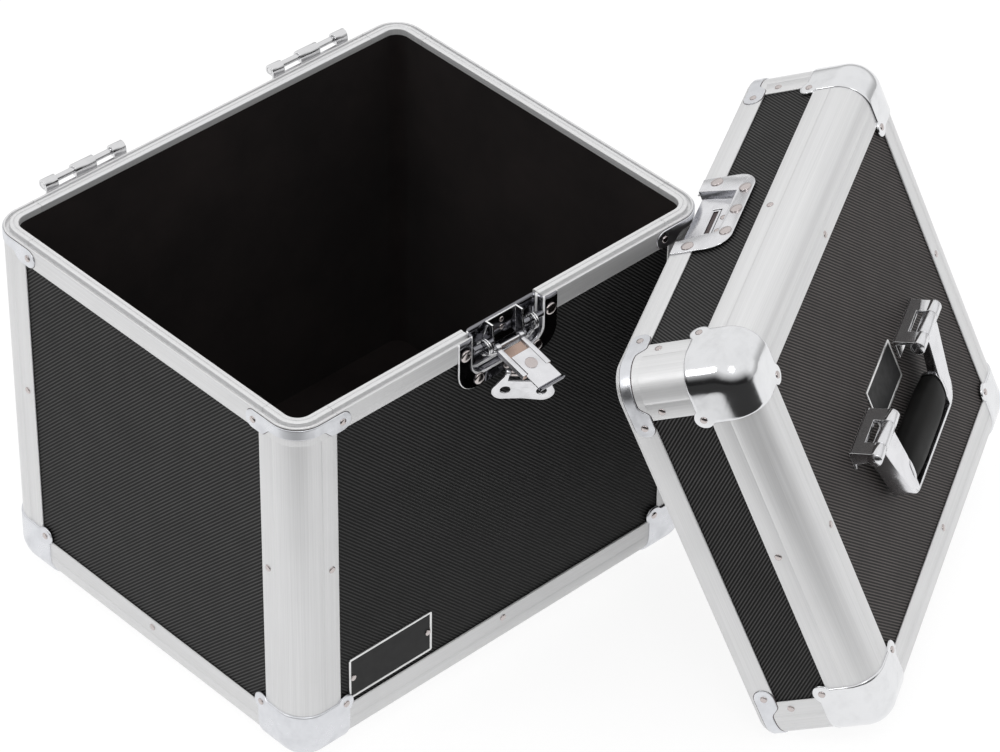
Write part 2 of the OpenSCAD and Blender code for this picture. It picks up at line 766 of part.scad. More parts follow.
// Spindle: domed head over the tongue, stem, collar, and the barrel round the wing's pin
module wing_spindle() {
    color(chrome) in_latch() translate([0, -spindle_at, 0]) difference() {
        union() {
            translate([0, 0, head_z]) rivet(spindle_head_r, plate_rivet_h);
            translate([0, 0, -wing_pin_drop]) cylinder(r = spindle_r, h = wing_pin_drop + head_z);
            translate([0, 0, -block_drop - 1]) cylinder(r = spindle_head_r, h = 1);
            rotate([0, 0, -wing_turn]) translate([-block_w / 2, 0, -wing_pin_drop]) rotate([0, 90, 0])
                cylinder(r = block_r, h = block_w);
        }
        rotate([0, 0, -wing_turn]) translate([-block_w, 0, -wing_pin_drop]) rotate([0, 90, 0])
            cylinder(r = wing_pin_r + pin_gap, h = 2 * block_w);
    }
}

neck_in = block_w / 2 + seat_gap;
neck_out = neck_in + neck_w;
module wing_outline() {
    lobe_x = wing_w / 2 - wing_lobe_r;
    lobe_y = -wing_h + wing_lobe_r;
    difference() {
        for (s = [0, 1]) mirror([s, 0]) {
            translate([lobe_x, lobe_y]) circle(wing_lobe_r);
            polygon([
                [0, -wing_throat], [neck_in, -wing_throat], [neck_in, 0], [neck_out, 0],
                [neck_out, -wing_throat / 2], [neck_out + 2, -wing_throat],
                [lobe_x + wing_lobe_r * cos(40), lobe_y + wing_lobe_r * sin(40)],
                [lobe_x, lobe_y - wing_lobe_r], [0, 1 - wing_h]
            ]);
        }
        for (s = [-1, 1]) translate([s * (lobe_x - 1), lobe_y + wing_hole_up]) circle(wing_hole_r);
    }
}
module wing() {
    barrel = wing_pin_r + pin_gap + 1;
    color(chrome) in_wing() difference() {
        union() {
            translate([0, wing_t / 2, 0]) outwards(wing_t) wing_outline();
            for (x = [neck_in, -neck_out]) translate([x, 0, 0]) rotate([0, 90, 0])
                cylinder(r = barrel, h = neck_out - neck_in);
        }
        translate([-wing_w, 0, 0]) rotate([0, 90, 0]) cylinder(r = wing_pin_r + pin_gap, h = 2 * wing_w);
    }
}
module wing_pin() {
    color(chrome) in_wing() translate([-neck_out, 0, 0]) rotate([0, 90, 0])
        cylinder(r = wing_pin_r, h = 2 * neck_out);
}

// ---- keeper ----

module pocket_outline(grow) {
    low = pocket_w / 2 + grow;
    high = pocket_top_w / 2 + grow;
    polygon([[-low, -1], [low, -1], [low, 2], [high, pocket_h + grow], [-high, pocket_h + grow], [-low, 2]]);
}
module pocket_block(grow) {
    deep = pocket_depth + grow;
    translate([0, deep, 0]) outwards(deep) pocket_outline(grow);
}
module keeper_plate() {
    color(chrome) in_lid() on_wall(0) difference() {
        union() {
            mirror([0, 0, 1]) outwards(sheet_t) plate_outline();
            intersection() {
                pocket_block(sheet_t);
                translate([-plate_w / 2, 0, 0]) cube([plate_w, wall_t, plate_h]);
            }
        }
        translate([0, pocket_depth, 0]) outwards(pocket_depth + 2 * sheet_t) pocket_outline(0);
        translate([-slot_w / 2, 0, slot_at]) cube([slot_w, wall_t, slot_h]);
    }
}

// ---- hinges ----

// Leaf on the outside of the wall, from the rim; up is 1 for the box and -1 for the lid
module leaf(up) {
    translate([-rod_len / 2, -leaf_t, up > 0 ? -leaf_h : 0]) cube([rod_len, leaf_t, leaf_h]);
}
module knuckle(x, w) {
    translate([x - w / 2, -rod_out, rod_up]) rotate([0, 90, 0]) difference() {
        union() {
            cylinder(r = knuckle_r, h = w);
            translate([0, rod_out - leaf_t, 0]) cube([rod_up, leaf_t, w]);
            translate([0, 0, 0]) cube([knuckle_r - 0.01, rod_out - leaf_t / 2, w]);
        }
        translate([0, 0, -1]) cylinder(r = rod_r + pin_gap, h = w + 2);
        translate([rod_up - 0.3, -rod_out, -1]) cube([2 * knuckle_r, 2 * rod_out - leaf_t, w + 2]);
    }
}
module hinge_leaves() {
    color(chrome) on_wall(2) translate([0, 0, rim_z]) for (s = [-1, 1]) translate([s * hinge_at, 0, 0]) {
        leaf(1);
        knuckle(0, mid_knuckle_w);
        for (e = [-1, 1]) knuckle(e * (rod_len - end_knuckle_w) / 2, end_knuckle_w);
    }
}
module hinge_rods() {
    color(chrome) on_wall(2) translate([0, -rod_out, rim_z + rod_up]) for (s = [-1, 1])
        translate([s * hinge_at - rod_len / 2, 0, 0]) rotate([0, 90, 0]) cylinder(r = rod_r, h = rod_len);
}

// Hook that closes over the rod from above and outside, open towards the box
module hook(x) {
    translate([x - hook_w / 2, -rod_out, rod_up]) along_x(hook_w) difference() {
        union() {
            circle(rod_outer_r);
            square([rod_out - leaf_t / 2, rod_outer_r]);
        }
        circle(rod_outer_r - hook_t);
        translate([0, -2 * rod_out]) square(2 * rod_out);
        square([rod_out, rod_outer_r - hook_t]);
    }
}
module lid_hinge_hooks() {
    room = (rod_len - mid_knuckle_w - 2 * end_knuckle_w) / 2;
    at = (mid_knuckle_w + room) / 2;
    color(chrome) in_lid() on_wall(2) for (s = [-1, 1]) translate([s * hinge_at, 0, 0]) {
        difference() {
            leaf(-1);
            for (x = [-1, 0, 1]) translate([x * (rod_len - end_knuckle_w) / 2, 0, 0])
                cube([(x == 0 ? mid_knuckle_w : end_knuckle_w + 8) + 1, 4 * leaf_t,
                      2 * (knuckle_r + rod_up) + 1], center = true);
        }
        for (e = [-1, 1]) hook(e * at);
    }
}

// ---- handle ----

// Side view of a bracket's two ends, as (across, up from the lid): foot, sheet and barrel
module bracket_end_outline() {
    difference() {
        union() {
            bracket_sheet_outline();
            translate([0, grip_pivot_h]) circle(barrel_r);
        }
        translate([0, grip_pivot_h]) circle(grip_pin_r + pin_gap);
    }
}
module bracket_sheet_outline() {
    top_y = -barrel_r + 0.5;
    polygon([
        [-foot_back, 0], [foot_front, 0], [foot_front, bracket_sheet],
        [-foot_back + 2 * bracket_sheet, bracket_sheet],
        [top_y + bracket_sheet, grip_pivot_h - 0.5], [top_y, grip_pivot_h],
        [-foot_back, bracket_sheet]
    ]);
}

module handle_brackets() {
    window = bail_barrel_w + 2 * seat_gap;
    end_w = (bracket_len - window) / 2;
    color(chrome) in_lid() translate([0, 0, lid_h - skin_t]) for (s = [0, 1]) mirror([s, 0, 0]) {
        for (x = [bracket_in, bracket_in + bracket_len - end_w])
            translate([x, 0, 0]) along_x(end_w) bracket_end_outline();
        translate([bracket_in + end_w, 0, 0]) along_x(window) intersection() {
            bracket_sheet_outline();
            translate([-foot_back, 0]) square([foot_back + foot_front, grip_pivot_h / 2]);
        }
        translate([bracket_in + bracket_len - bracket_sheet, 0, 0]) along_x(bracket_sheet)
            polygon([
                [-foot_back, 0], [bracket_sheet, 0], [bracket_sheet, grip_pivot_h - barrel_r + 0.5],
                [-barrel_r + 1, grip_pivot_h - 2], [-foot_back + 0.5, bracket_sheet]
            ]);
    }
}

module handle_pins() {
    color(chrome) in_lid() translate([0, 0, lid_h - skin_t + grip_pivot_h]) for (s = [0, 1])
        mirror([s, 0, 0]) {
            translate([bracket_in, 0, 0]) rotate([0, 90, 0]) cylinder(r = grip_pin_r, h = bracket_len);
            translate([bracket_in + bracket_len, 0, 0]) rotate([0, 90, 0]) rivet(barrel_r, 1.8);
            translate([bracket_in, 0, 0]) rotate([0, -90, 0]) rivet(barrel_r, 1.2);
        }
}

bail_root_in = bail_barrel_at;
bail_root_out = bail_barrel_at + bail_barrel_w;
arm_in = grip_len / 2;
module in_bail() in_lid() translate([0, 0, lid_h - skin_t + grip_pivot_h]) children();

// Plan of the bail's wall line, moved in by t, for the right half: strap, round corner, arm
function bail_line(t) = concat(
    [[0, bail_reach - t]],
    [for (a = [90:-15:0]) [bail_far - bail_round, bail_reach - bail_round]
        + (bail_round - t) * [cos(a), sin(a)]],
    [[bail_root_out - t, barrel_r + 1]]
);

module handle_bail() {
    color(chrome) in_bail() difference() {
        union() {
            for (s = [0, 1]) mirror([s, 0, 0]) {
                translate([bail_root_in, 0, 0]) rotate([0, 90, 0])
                    cylinder(r = barrel_r, h = bail_barrel_w);
                translate([0, 0, bail_top - bail_t]) linear_extrude(bail_t) polygon(concat(
                    [[arm_in, bail_reach]],
                    [for (i = [1:len(bail_line(0)) - 1]) bail_line(0)[i]],
                    [[bail_root_out, 0], [bail_root_in, 0], [bail_root_in, barrel_r + 1],
                     [arm_in, bail_reach / 2]]
                ));
                translate([0, 0, bail_top - bail_depth]) linear_extrude(bail_depth) polygon(
                    concat(bail_line(0), [for (i = [len(bail_line(0)) - 1:-1:0]) bail_line(bail_t)[i]]));
                translate([arm_in, grip_back + grip_w / 2, grip_low + grip_t / 2]) rotate([0, 90, 0])
                    cylinder(r = grip_t / 2 - 2, h = bail_t);
            }
        }
        translate([-bail_root_out, 0, 0]) rotate([0, 90, 0])
            cylinder(r = grip_pin_r + pin_gap, h = 2 * bail_root_out);
    }
}
module handle_grip() {
    color(cloth) in_bail() translate([-grip_len / 2, grip_back + grip_w / 2, grip_low + grip_t / 2])
        along_x(grip_len) round_rect(grip_w, grip_t, grip_r);
}

// ---- label plates and rivets ----

module box_label_plate() {
    color(chrome) on_wall(0)
        translate([edge_leg + plate1_side - case_w / 2, skin_t, base_z + edge_leg + plate1_gap])
            outwards(label_t) square([plate1_w, plate1_h]);
}
module lid_label_plate() {
    color(chrome) in_lid() translate([0, 0, lid_h - skin_t]) linear_extrude(label_t)
        square([plate2_w, plate2_h], center = true);
}

edge_rivet = edge_leg - edge_rivet_in;
// Rivets that the box and the lid share on wall k: ball corner lobes and rim ears
module corner_rivets(k, lobe_z, ear_z) {
    half = wall_len(k) / 2;
    for (s = [-1, 1]) {
        wall_rivet(s * (half - lobe_in), lobe_z, corner_t);
        wall_rivet(s * (half - ear_in), ear_z, bracket_t);
    }
}
// Five rivets of a flange plate; up is -1 where the plate hangs down from the rim
module plate_rivets(up) {
    side = plate_w / 2 - plate_rivet_r - 1.6;
    for (s = [-1, 1]) {
        wall_rivet(s * side, up * 11, sheet_t, plate_rivet_r, plate_rivet_h);
        wall_rivet(s * (side - 11.5), up * (plate_h - 5.8), sheet_t, plate_rivet_r, plate_rivet_h);
    }
    wall_rivet(0, up * (plate_h - plate_rivet_r - 1), sheet_t, plate_rivet_r, plate_rivet_h);
}
module box_rivets() {
    color(chrome) {
        for (k = [0:3]) on_wall(k) {
            corner_rivets(k, base_z + lobe_in, rim_z - ear_mid);
            for (s = [-1, 1])
                wall_rivet(s * (wall_len(k) / 2 - edge_rivet), base_z + (edge_leg + box_h) / 2, 0);
            wall_rivet(0, base_z + edge_rivet, 0);
        }
        on_wall(0) translate([0, 0, rim_z]) plate_rivets(-1);
        on_wall(0) translate([0, dish_depth - sheet_t, rim_z]) for (z = [4.5, 10.5])
            wall_rivet(0, -z, 0);
        on_wall(2) for (s = [-1, 1], e = [-1, 1])
            translate([s * hinge_at, 0, rim_z]) wall_rivet(e * rod_len / 3, -leaf_h + 6, leaf_t);
        for (k = [0:3]) at_corner(k) translate([lobe_in, lobe_in, base_z - corner_t / 2])
            cylinder(r = rivet_r, h = corner_t / 2);
    }
}
module lid_rivets() {
    color(chrome) in_lid() {
        for (k = [0:3]) on_wall(k) {
            corner_rivets(k, lid_h - lobe_in, ear_mid);
            for (s = [-1, 1]) wall_rivet(s * (wall_len(k) / 2 - edge_rivet), rim_band + 8.5, 0);
            wall_rivet(0, lid_h - edge_rivet, 0);
            translate([0, edge_rivet, lid_h]) rivet();
        }
        for (k = [0:3]) at_corner(k) translate([lobe_in, lobe_in, lid_h + corner_t]) rivet();
        on_wall(0) plate_rivets(1);
        on_wall(2) for (s = [-1, 1], e = [-1, 1])
            translate([s * hinge_at, 0, 0]) wall_rivet(e * rod_len / 3, leaf_h - 6, leaf_t);
    }
}

front_panel();
back_panel();
left_panel();
right_panel();
floor_panel();
wall_lining();
floor_lining();
upright(0);  // upright_front_left
upright(1);  // upright_front_right
upright(2);  // upright_back_right
upright(3);  // upright_back_left
base_edging(0);  // base_edging_front
base_edging(1);  // base_edging_right
base_edging(2);  // base_edging_back
base_edging(3);  // base_edging_left
box_rail(0, dish_w + 2 * sheet_t + 0.4);  // rim_rail_front
box_rail(1);  // rim_rail_right
box_rail(2);  // rim_rail_back
box_rail(3);  // rim_rail_left
box_rim_corners();
box_ball_corners();
hinge_leaves();
hinge_rods();
latch_dish();
latch_cradle();
latch_pins();
latch_springs();
box_label_plate();
box_rivets();
draw_frame();
tongue();
wing_spindle();
wing();
wing_pin();
lid_top_panel();
lid_front_panel();
lid_right_panel();
lid_back_panel();
lid_left_panel();
lid_wall_lining();
lid_top_lining();
lid_edging(0);  // lid_edging_front
lid_edging(1);  // lid_edging_right
lid_edging(2);  // lid_edging_back
lid_edging(3);  // lid_edging_left
lid_uprights();
lid_rail(0, pocket_w + 2 * sheet_t + 0.4);  // lid_rail_front
lid_rail(1);  // lid_rail_right
lid_rail(2);  // lid_rail_back
lid_rail(3);  // lid_rail_left
lid_rim_corners();
lid_ball_corners();
lid_hinge_hooks();
keeper_plate();
handle_brackets();
handle_pins();
lid_label_plate();
lid_rivets();
handle_bail();
handle_grip();
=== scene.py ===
import bpy
import bmesh
import numpy as np
from mathutils import Matrix, Vector


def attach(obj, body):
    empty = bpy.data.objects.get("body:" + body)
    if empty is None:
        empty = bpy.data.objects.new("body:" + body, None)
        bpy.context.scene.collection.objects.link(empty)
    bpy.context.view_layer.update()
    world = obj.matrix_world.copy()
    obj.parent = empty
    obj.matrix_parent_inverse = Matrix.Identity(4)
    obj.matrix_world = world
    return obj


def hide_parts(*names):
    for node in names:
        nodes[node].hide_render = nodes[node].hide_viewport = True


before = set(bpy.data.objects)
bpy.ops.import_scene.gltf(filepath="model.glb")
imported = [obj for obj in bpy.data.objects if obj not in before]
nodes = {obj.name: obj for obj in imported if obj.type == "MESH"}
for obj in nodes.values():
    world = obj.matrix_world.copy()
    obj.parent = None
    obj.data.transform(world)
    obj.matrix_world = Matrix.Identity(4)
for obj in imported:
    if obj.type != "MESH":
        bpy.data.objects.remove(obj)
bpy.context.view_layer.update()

# Sizes of the case in millimetres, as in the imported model.
CASE_W, CASE_D, LID_H = 350.0, 294.0, 86.0
BASE_Z, RIM_Z = 1.2, 277.2
EDGE_R, EDGE_LEG, SKIN, WALL = 20.0, 34.0, 1.5, 10.0  # corner edging and the whole wall
BAND, SEAT = 15.0, 4.0  # rim rails: depth of the outer band and of the seat on the wall
CORNER_T, CORNER_REACH, LOBE_IN, LOBE_R = 1.2, 41.0, 37.5, 6.5  # ball corners
BRACKET_T, EAR_IN, EAR_BAND = 0.8, 38.0, 9.0  # rim corner brackets
SHEET_END, UNDER_BAND = 36.0, 0.8  # edging sheets: end from the corner, and lap under a band
BOX_NOTCH, LID_NOTCH = 61.4, 58.9  # gaps in the front rails at the latch and the keeper
POCKET = 5.6  # depth of the keeper's pocket in the lid's front
LEAN, YAW, LEAN_AT, LEAN_GAP = 22.96, 29.65, 9.4, 0.4  # how and where the lid leans on the box
ROD_OUT, ROD_UP, ROD_R = 4.2, 3.5, 3.4  # hinge hooks: the bore's middle and the hook's radius
RIVET_R, RIVET_H = 2.4, 0.9
LABEL_X, LABEL_Z = -98.0, BASE_Z + 54.0  # middle of the box's label plate
SPINDLE_Y, GRIP_Y, GRIP_Z = -20.9, 38.2, -4.1


# ---- places: where each part's own axes lie in the frame ----

def place(x_axis, y_axis, z_axis, origin):
    """A 4 by 4 matrix whose columns are the part's axes and origin, all in millimetres."""
    m = np.eye(4)
    m[:3, 0], m[:3, 1], m[:3, 2], m[:3, 3] = x_axis, y_axis, z_axis, origin
    return m


def turned(axis, degrees):
    """Turn about x, y or z through the origin."""
    return np.array(Matrix.Rotation(np.radians(degrees), 4, axis))


def moved(x, y, z):
    return place((1, 0, 0), (0, 1, 0), (0, 0, 1), (x, y, z))


def lid_place():
    """The lid's axes: its rim plane through the origin, x along its front, z out of its top.
    It stands on its hinge hooks, leans by LEAN degrees, and is turned by YAW degrees."""
    lean, yaw = np.radians(LEAN), np.radians(YAW)
    x_axis = np.array([-np.cos(yaw), -np.sin(yaw), 0.0])
    y_axis = np.array([np.sin(yaw) * np.sin(lean), -np.cos(yaw) * np.sin(lean), -np.cos(lean)])
    rise = ROD_OUT * np.cos(lean) - ROD_UP * np.sin(lean) + ROD_R
    top = rise + CASE_D * np.cos(lean)
    over = max(0.0, top - POCKET * np.cos(lean) - RIM_Z) * np.tan(lean) + POCKET * np.sin(lean)
    reach = EDGE_R + BRACKET_T + LEAN_GAP - over
    start = np.array([CASE_W / 2 - EDGE_R + reach * np.sin(yaw),
                      -CASE_D / 2 + EDGE_R - reach * np.cos(yaw), top])
    origin = start + LEAN_AT * x_axis + CASE_D / 2 * y_axis
    return place(x_axis, y_axis, np.cross(x_axis, y_axis), origin)


WORLD = np.eye(4)
LID = lid_place()
BOX_RIM = moved(0, 0, RIM_Z)
BOX_BASE = moved(0, 0, BASE_Z)
LATCH = moved(0, -CASE_D / 2 - 1.5, RIM_Z - 18) @ turned("X", 15)
HANDLE = LID @ moved(0, 0, LID_H - SKIN + 15.3)
FLIP = place((1, 0, 0), (0, 1, 0), (0, 0, -1), (0, 0, 0))
MIRRORED = place((-1, 0, 0), (0, 1, 0), (0, 0, 1), (0, 0, 0))
OUT = place((1, 0, 0), (0, 0, 1), (0, -1, 0), (0, 0, 0))  # z points out of a wall
LID_TURNED = LID @ moved(0, 0, LID_H) @ FLIP  # measured down from the lid's top


def on_wall(k):
    """Wall k (0 front, 1 right, 2 back, 3 left): x runs along it and y goes in through it."""
    return turned("Z", 90 * k) @ moved(0, -(CASE_D if k % 2 == 0 else CASE_W) / 2, 0)


def at_corner(k):
    """Corner k (0 front left, then anticlockwise): the sharp corner, x and y along its walls."""
    x = CASE_W / 2 * (1 if k in (1, 2) else -1)
    y = CASE_D / 2 * (1 if k > 1 else -1)
    return moved(x, y, 0) @ turned("Z", 90 * k)


def wall_len(k):
    return CASE_W if k % 2 == 0 else CASE_D


# ---- meshes ----

SHARP = np.radians(40)  # edges sharper than this stay sharp in the shading


def round_edges(piece, width, angle, harden=True):
    """Rounds the edges that are sharper than the angle; the width is in millimetres."""
    mod = piece.modifiers.new("Rounded edges", "BEVEL")
    mod.width, mod.segments, mod.limit_method = width / 1000, 2, "ANGLE"
    mod.angle_limit = np.radians(angle)
    mod.harden_normals = harden
    return mod


def merged(source, target, gap=1e-6, outwards=False, flat_angle=0.0):
    """Merge the doubled points of a mesh, then turn its faces outwards or join its flat
    faces, where asked, and write it to the target."""
    bm = bmesh.new()
    bm.from_mesh(source)
    bmesh.ops.remove_doubles(bm, verts=bm.verts, dist=gap)
    if outwards:
        bmesh.ops.recalc_face_normals(bm, faces=bm.faces)
    if flat_angle:
        bmesh.ops.dissolve_limit(bm, angle_limit=np.radians(flat_angle), verts=bm.verts,
                                 edges=bm.edges)
    bm.to_mesh(target)
    bm.free()


def build(name, body, material, parts, replaces=(), bevel=0.0):
    """One object from parts, each (points in mm, faces, place). Points go through their place,
    then to metres. A place that mirrors has its faces turned round."""
    points, faces, start = [], [], 0
    for pts, polys, where in parts:
        pts = np.asarray(pts, float).reshape(-1, 3)
        world = pts @ where[:3, :3].T + where[:3, 3]
        flip = np.linalg.det(where[:3, :3]) < 0
        faces += [tuple((np.asarray(f)[::-1] if flip else np.asarray(f)) + start) for f in polys]
        points.append(world / 1000)
        start += len(pts)
    mesh = bpy.data.meshes.new(name)
    mesh.from_pydata(np.concatenate(points).tolist(), [], faces)
    mesh.validate()
    mesh.polygons.foreach_set("use_smooth", np.ones(len(mesh.polygons), bool))
    mesh.set_sharp_from_angle(angle=SHARP)
    piece = bpy.data.objects.new(name, mesh)
    bpy.context.scene.collection.objects.link(piece)
    if bevel:
        round_edges(piece, bevel, 35, harden=False)
    mesh.materials.append(material)
    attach(piece, body)
    if replaces:
        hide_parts(*replaces)
    return piece


def grid_faces(rows, cols, close_rows=False, close_cols=False):
    """Quads of a grid of points, row by row; closing joins the last row or column to the first."""
    r = np.arange(rows if close_rows else rows - 1)[:, None]
    c = np.arange(cols if close_cols else cols - 1)[None, :]
    r2, c2 = (r + 1) % rows, (c + 1) % cols
    quads = np.stack([r * cols + c, r * cols + c2, r2 * cols + c2, r2 * cols + c], -1)
    return [tuple(q) for q in quads.reshape(-1, 4).tolist()]


def tube(rings, caps=True):
    """A solid through rings of points, each ring closed, with flat caps at both ends."""
    n, m = rings.shape[:2]
    faces = grid_faces(n, m, close_cols=True)
    if caps:
        faces += [tuple(range(m))[::-1], tuple(range((n - 1) * m, n * m))]
    return rings.reshape(-1, 3), faces


def outward(part):
    """The same part with its faces turned round if its volume comes out negative."""
    pts, faces = part
    pts = np.asarray(pts)
    volume = sum(np.dot(pts[f[0]], np.cross(pts[f[i]], pts[f[i + 1]]))
                 for f in faces for i in range(1, len(f) - 1))
    return part if volume > 0 else (pts, [f[::-1] for f in faces])


def run_along_x(outline, length, start=None):
    """The outline, drawn as (inwards, up), carried straight along x."""
    outline = np.asarray(outline, float)
    x0 = -length / 2 if start is None else start
    rings = np.stack([np.column_stack([np.full(len(outline), x), outline])
                      for x in (x0, x0 + length)])
    return outward(tube(rings))


def slab(outline, low, high):
    """The outline, drawn as (x, y), given a thickness from low to high along z."""
    outline = np.asarray(outline, float)
    rings = np.stack([np.column_stack([outline, np.full(len(outline), z)]) for z in (low, high)])
    return outward(tube(rings))


def arc(cx, cy, r, a0, a1, n):
    a = np.radians(np.linspace(a0, a1, n))
    return np.column_stack([cx + r * np.cos(a), cy + r * np.sin(a)])


def dome(r, h, rings=7, sides=20, skirt=0.25):
    """A rivet head on z = 0: a short upright skirt, then a quarter ellipse over it."""
    t = np.radians(np.linspace(0, 90, rings))[:-1]
    rr = np.concatenate([[r], r * np.cos(t) ** 0.95])
    zz = np.concatenate([[0], skirt * h + (1 - skirt) * h * np.sin(t)])
    a = np.linspace(0, 2 * np.pi, sides, endpoint=False)
    ring = np.stack([rr[:, None] * np.cos(a), rr[:, None] * np.sin(a),
                     np.repeat(zz[:, None], sides, 1)], -1)
    pts, faces = tube(ring, caps=False)
    top = len(pts)
    pts = np.vstack([pts, [[0, 0, h]]])
    last = top - sides
    faces += [(last + i, last + (i + 1) % sides, top) for i in range(sides)]
    faces += [tuple(range(sides))[::-1]]
    return outward((pts, faces))


# ---- materials ----

RIB_PITCH, RIB_POWER, BEAD_RATE = 2.03, 2.2, 2.6  # laminate ribs, in millimetres
FULL_TURN, DIAGONAL = 6.2832, 0.7071  # a full turn in radians, and the cosine of 45 degrees


def new_group(name, inputs, outputs):
    """An empty shader node group with named sockets: inputs are (name, type, default) and
    outputs are (name, type)."""
    g = bpy.data.node_groups.new(name, "ShaderNodeTree")
    for n, kind, value in inputs:
        s = g.interface.new_socket(n, in_out="INPUT", socket_type="NodeSocket" + kind)
        if value is not None:
            s.default_value = value
    for n, kind in outputs:
        g.interface.new_socket(n, in_out="OUTPUT", socket_type="NodeSocket" + kind)
    return g, g.nodes.new("NodeGroupInput"), g.nodes.new("NodeGroupOutput")


class Net:
    """Small helper to add and join nodes of one tree."""

    def __init__(self, tree):
        self.tree = tree

    def node(self, kind, **settings):
        n = self.tree.nodes.new("ShaderNode" + kind)
        for key, value in settings.items():
            setattr(n, key, value)
        return n

    def join(self, a, b):
        self.tree.links.new(a, b)

    def math(self, op, a, b=0.0, clamp=False):
        n = self.node("Math", operation=op, use_clamp=clamp)
        for socket, value in zip(n.inputs, (a, b)):
            if isinstance(value, (int, float)):
                socket.default_value = value
            else:
                self.join(value, socket)
        return n.outputs[0]

    def vector(self, op, a, b=None):
        n = self.node("VectorMath", operation=op)
        for socket, value in zip(n.inputs, (a, b)):
            if value is None:
                continue
            if isinstance(value, (tuple, list)):
                socket.default_value = value
            else:
                self.join(value, socket)
        return n.outputs[0]

    def dot(self, a, b):
        n = self.node("VectorMath", operation="DOT_PRODUCT")
        self.join(a, n.inputs[0])
        n.inputs[1].default_value = b
        return n.outputs["Value"]

    def noise(self, vector, scale, detail=3.0, rough=0.5):
        n = self.node("TexNoise")
        self.join(vector, n.inputs["Vector"])
        n.inputs["Scale"].default_value = scale
        n.inputs["Detail"].default_value = detail
        n.inputs["Roughness"].default_value = rough
        return n.outputs["Fac"]

    def span(self, value, a0, a1, b0, b1):
        n = self.node("MapRange")
        self.join(value, n.inputs["Value"])
        for key, v in (("From Min", a0), ("From Max", a1), ("To Min", b0), ("To Max", b1)):
            n.inputs[key].default_value = v
        return n.outputs[0]

    def mix(self, factor, a, b):
        n = self.node("Mix", data_type="RGBA")
        for socket, value in ((n.inputs["Factor"], factor), (n.inputs["A"], a), (n.inputs["B"], b)):
            if isinstance(value, (int, float)):
                socket.default_value = value
            elif isinstance(value, tuple):
                socket.default_value = value + (1.0,) * (4 - len(value))
            else:
                self.join(value, socket)
        return n.outputs["Result"]


def new_material(name):
    """An empty material and the helper that fills its tree."""
    mat = bpy.data.materials.new(name)
    mat.use_nodes = True
    return mat, Net(mat.node_tree)


def grain_group():
    """Fine and coarse streaks along one axis of the given coordinates."""
    g, gin, gout = new_group("Streaked grain", [
        ("Vector", "Vector", None), ("Stretch", "Vector", (1, 1, 1)),
    ], [("Streaks", "Float"), ("Height", "Float")])
    net = Net(g)
    stretched = net.vector("MULTIPLY", gin.outputs["Vector"], gin.outputs["Stretch"])
    fine = net.noise(stretched, 1.0, 4.0, 0.6)
    coarse = net.noise(stretched, 0.23, 2.0)
    streaks = net.math("ADD", net.math("MULTIPLY", fine, 0.65), net.math("MULTIPLY", coarse, 0.35))
    net.join(streaks, gout.inputs["Streaks"])
    net.join(fine, gout.inputs["Height"])
    return g


def rib_group():
    """Diagonal ribs: a rounded wave across the ribs, with a weaker cross wave along them."""
    g, gin, gout = new_group("Diagonal ribs", [
        ("Across", "Float", 0.0), ("Along", "Float", 0.0), ("Pitch", "Float", 2.0),
    ], [("Rib", "Float")])
    net = Net(g)
    turn = net.math("DIVIDE", gin.outputs["Across"], gin.outputs["Pitch"])
    wave = net.math("SINE", net.math("MULTIPLY", turn, FULL_TURN))
    cross = net.math("SINE", net.math("MULTIPLY", gin.outputs["Along"], BEAD_RATE))
    rib = net.math("ADD", net.math("MULTIPLY", wave, 0.5), 0.5)
    rib = net.math("POWER", rib, RIB_POWER)
    beads = net.math("ADD", net.math("MULTIPLY", cross, 0.07), 0.93)
    rib = net.math("MULTIPLY", rib, beads, clamp=True)
    net.join(rib, gout.inputs["Rib"])
    return g


GRAIN = grain_group()
RIBS = rib_group()


def add_group(net, group, **values):
    n = net.node("Group")
    n.node_tree = group
    for key, value in values.items():
        socket = n.inputs[key]
        if isinstance(value, (int, float, tuple)):
            socket.default_value = value
        else:
            net.join(value, socket)
    return n


def own_axes(net, where):
    """Object coordinates turned into the part's own axes, in millimetres."""
    coords = net.node("TexCoord").outputs["Object"]
    mm = net.vector("SCALE", coords)
    mm.node.inputs["Scale"].default_value = 1000.0
    shifted = net.vector("SUBTRACT", mm, tuple(where[:3, 3]))
    parts = [net.dot(shifted, tuple(where[:3, i])) for i in range(3)]
    n = net.node("CombineXYZ")
    for value, socket in zip(parts, n.inputs):
        net.join(value, socket)
    return n.outputs[0], parts


def shader(net, color, metallic, rough, normal, sheen=0.0, specular=0.5):
    p = net.tree.nodes["Principled BSDF"]
    for key, value in (("Base Color", color), ("Metallic", metallic), ("Roughness", rough),
                       ("Sheen Weight", sheen), ("Specular IOR Level", specular)):
        socket = p.inputs[key]
        if isinstance(value, tuple):
            socket.default_value = value + (1.0,) * (4 - len(value))
        elif isinstance(value, (int, float)):
            socket.default_value = value
        else:
            net.join(value, socket)
    net.join(normal, p.inputs["Normal"])


def bump(net, height, strength, distance_mm):
    n = net.node("Bump")
    n.inputs["Strength"].default_value = strength
    n.inputs["Distance"].default_value = distance_mm / 1000
    net.join(height, n.inputs["Height"])
    return n.outputs["Normal"]


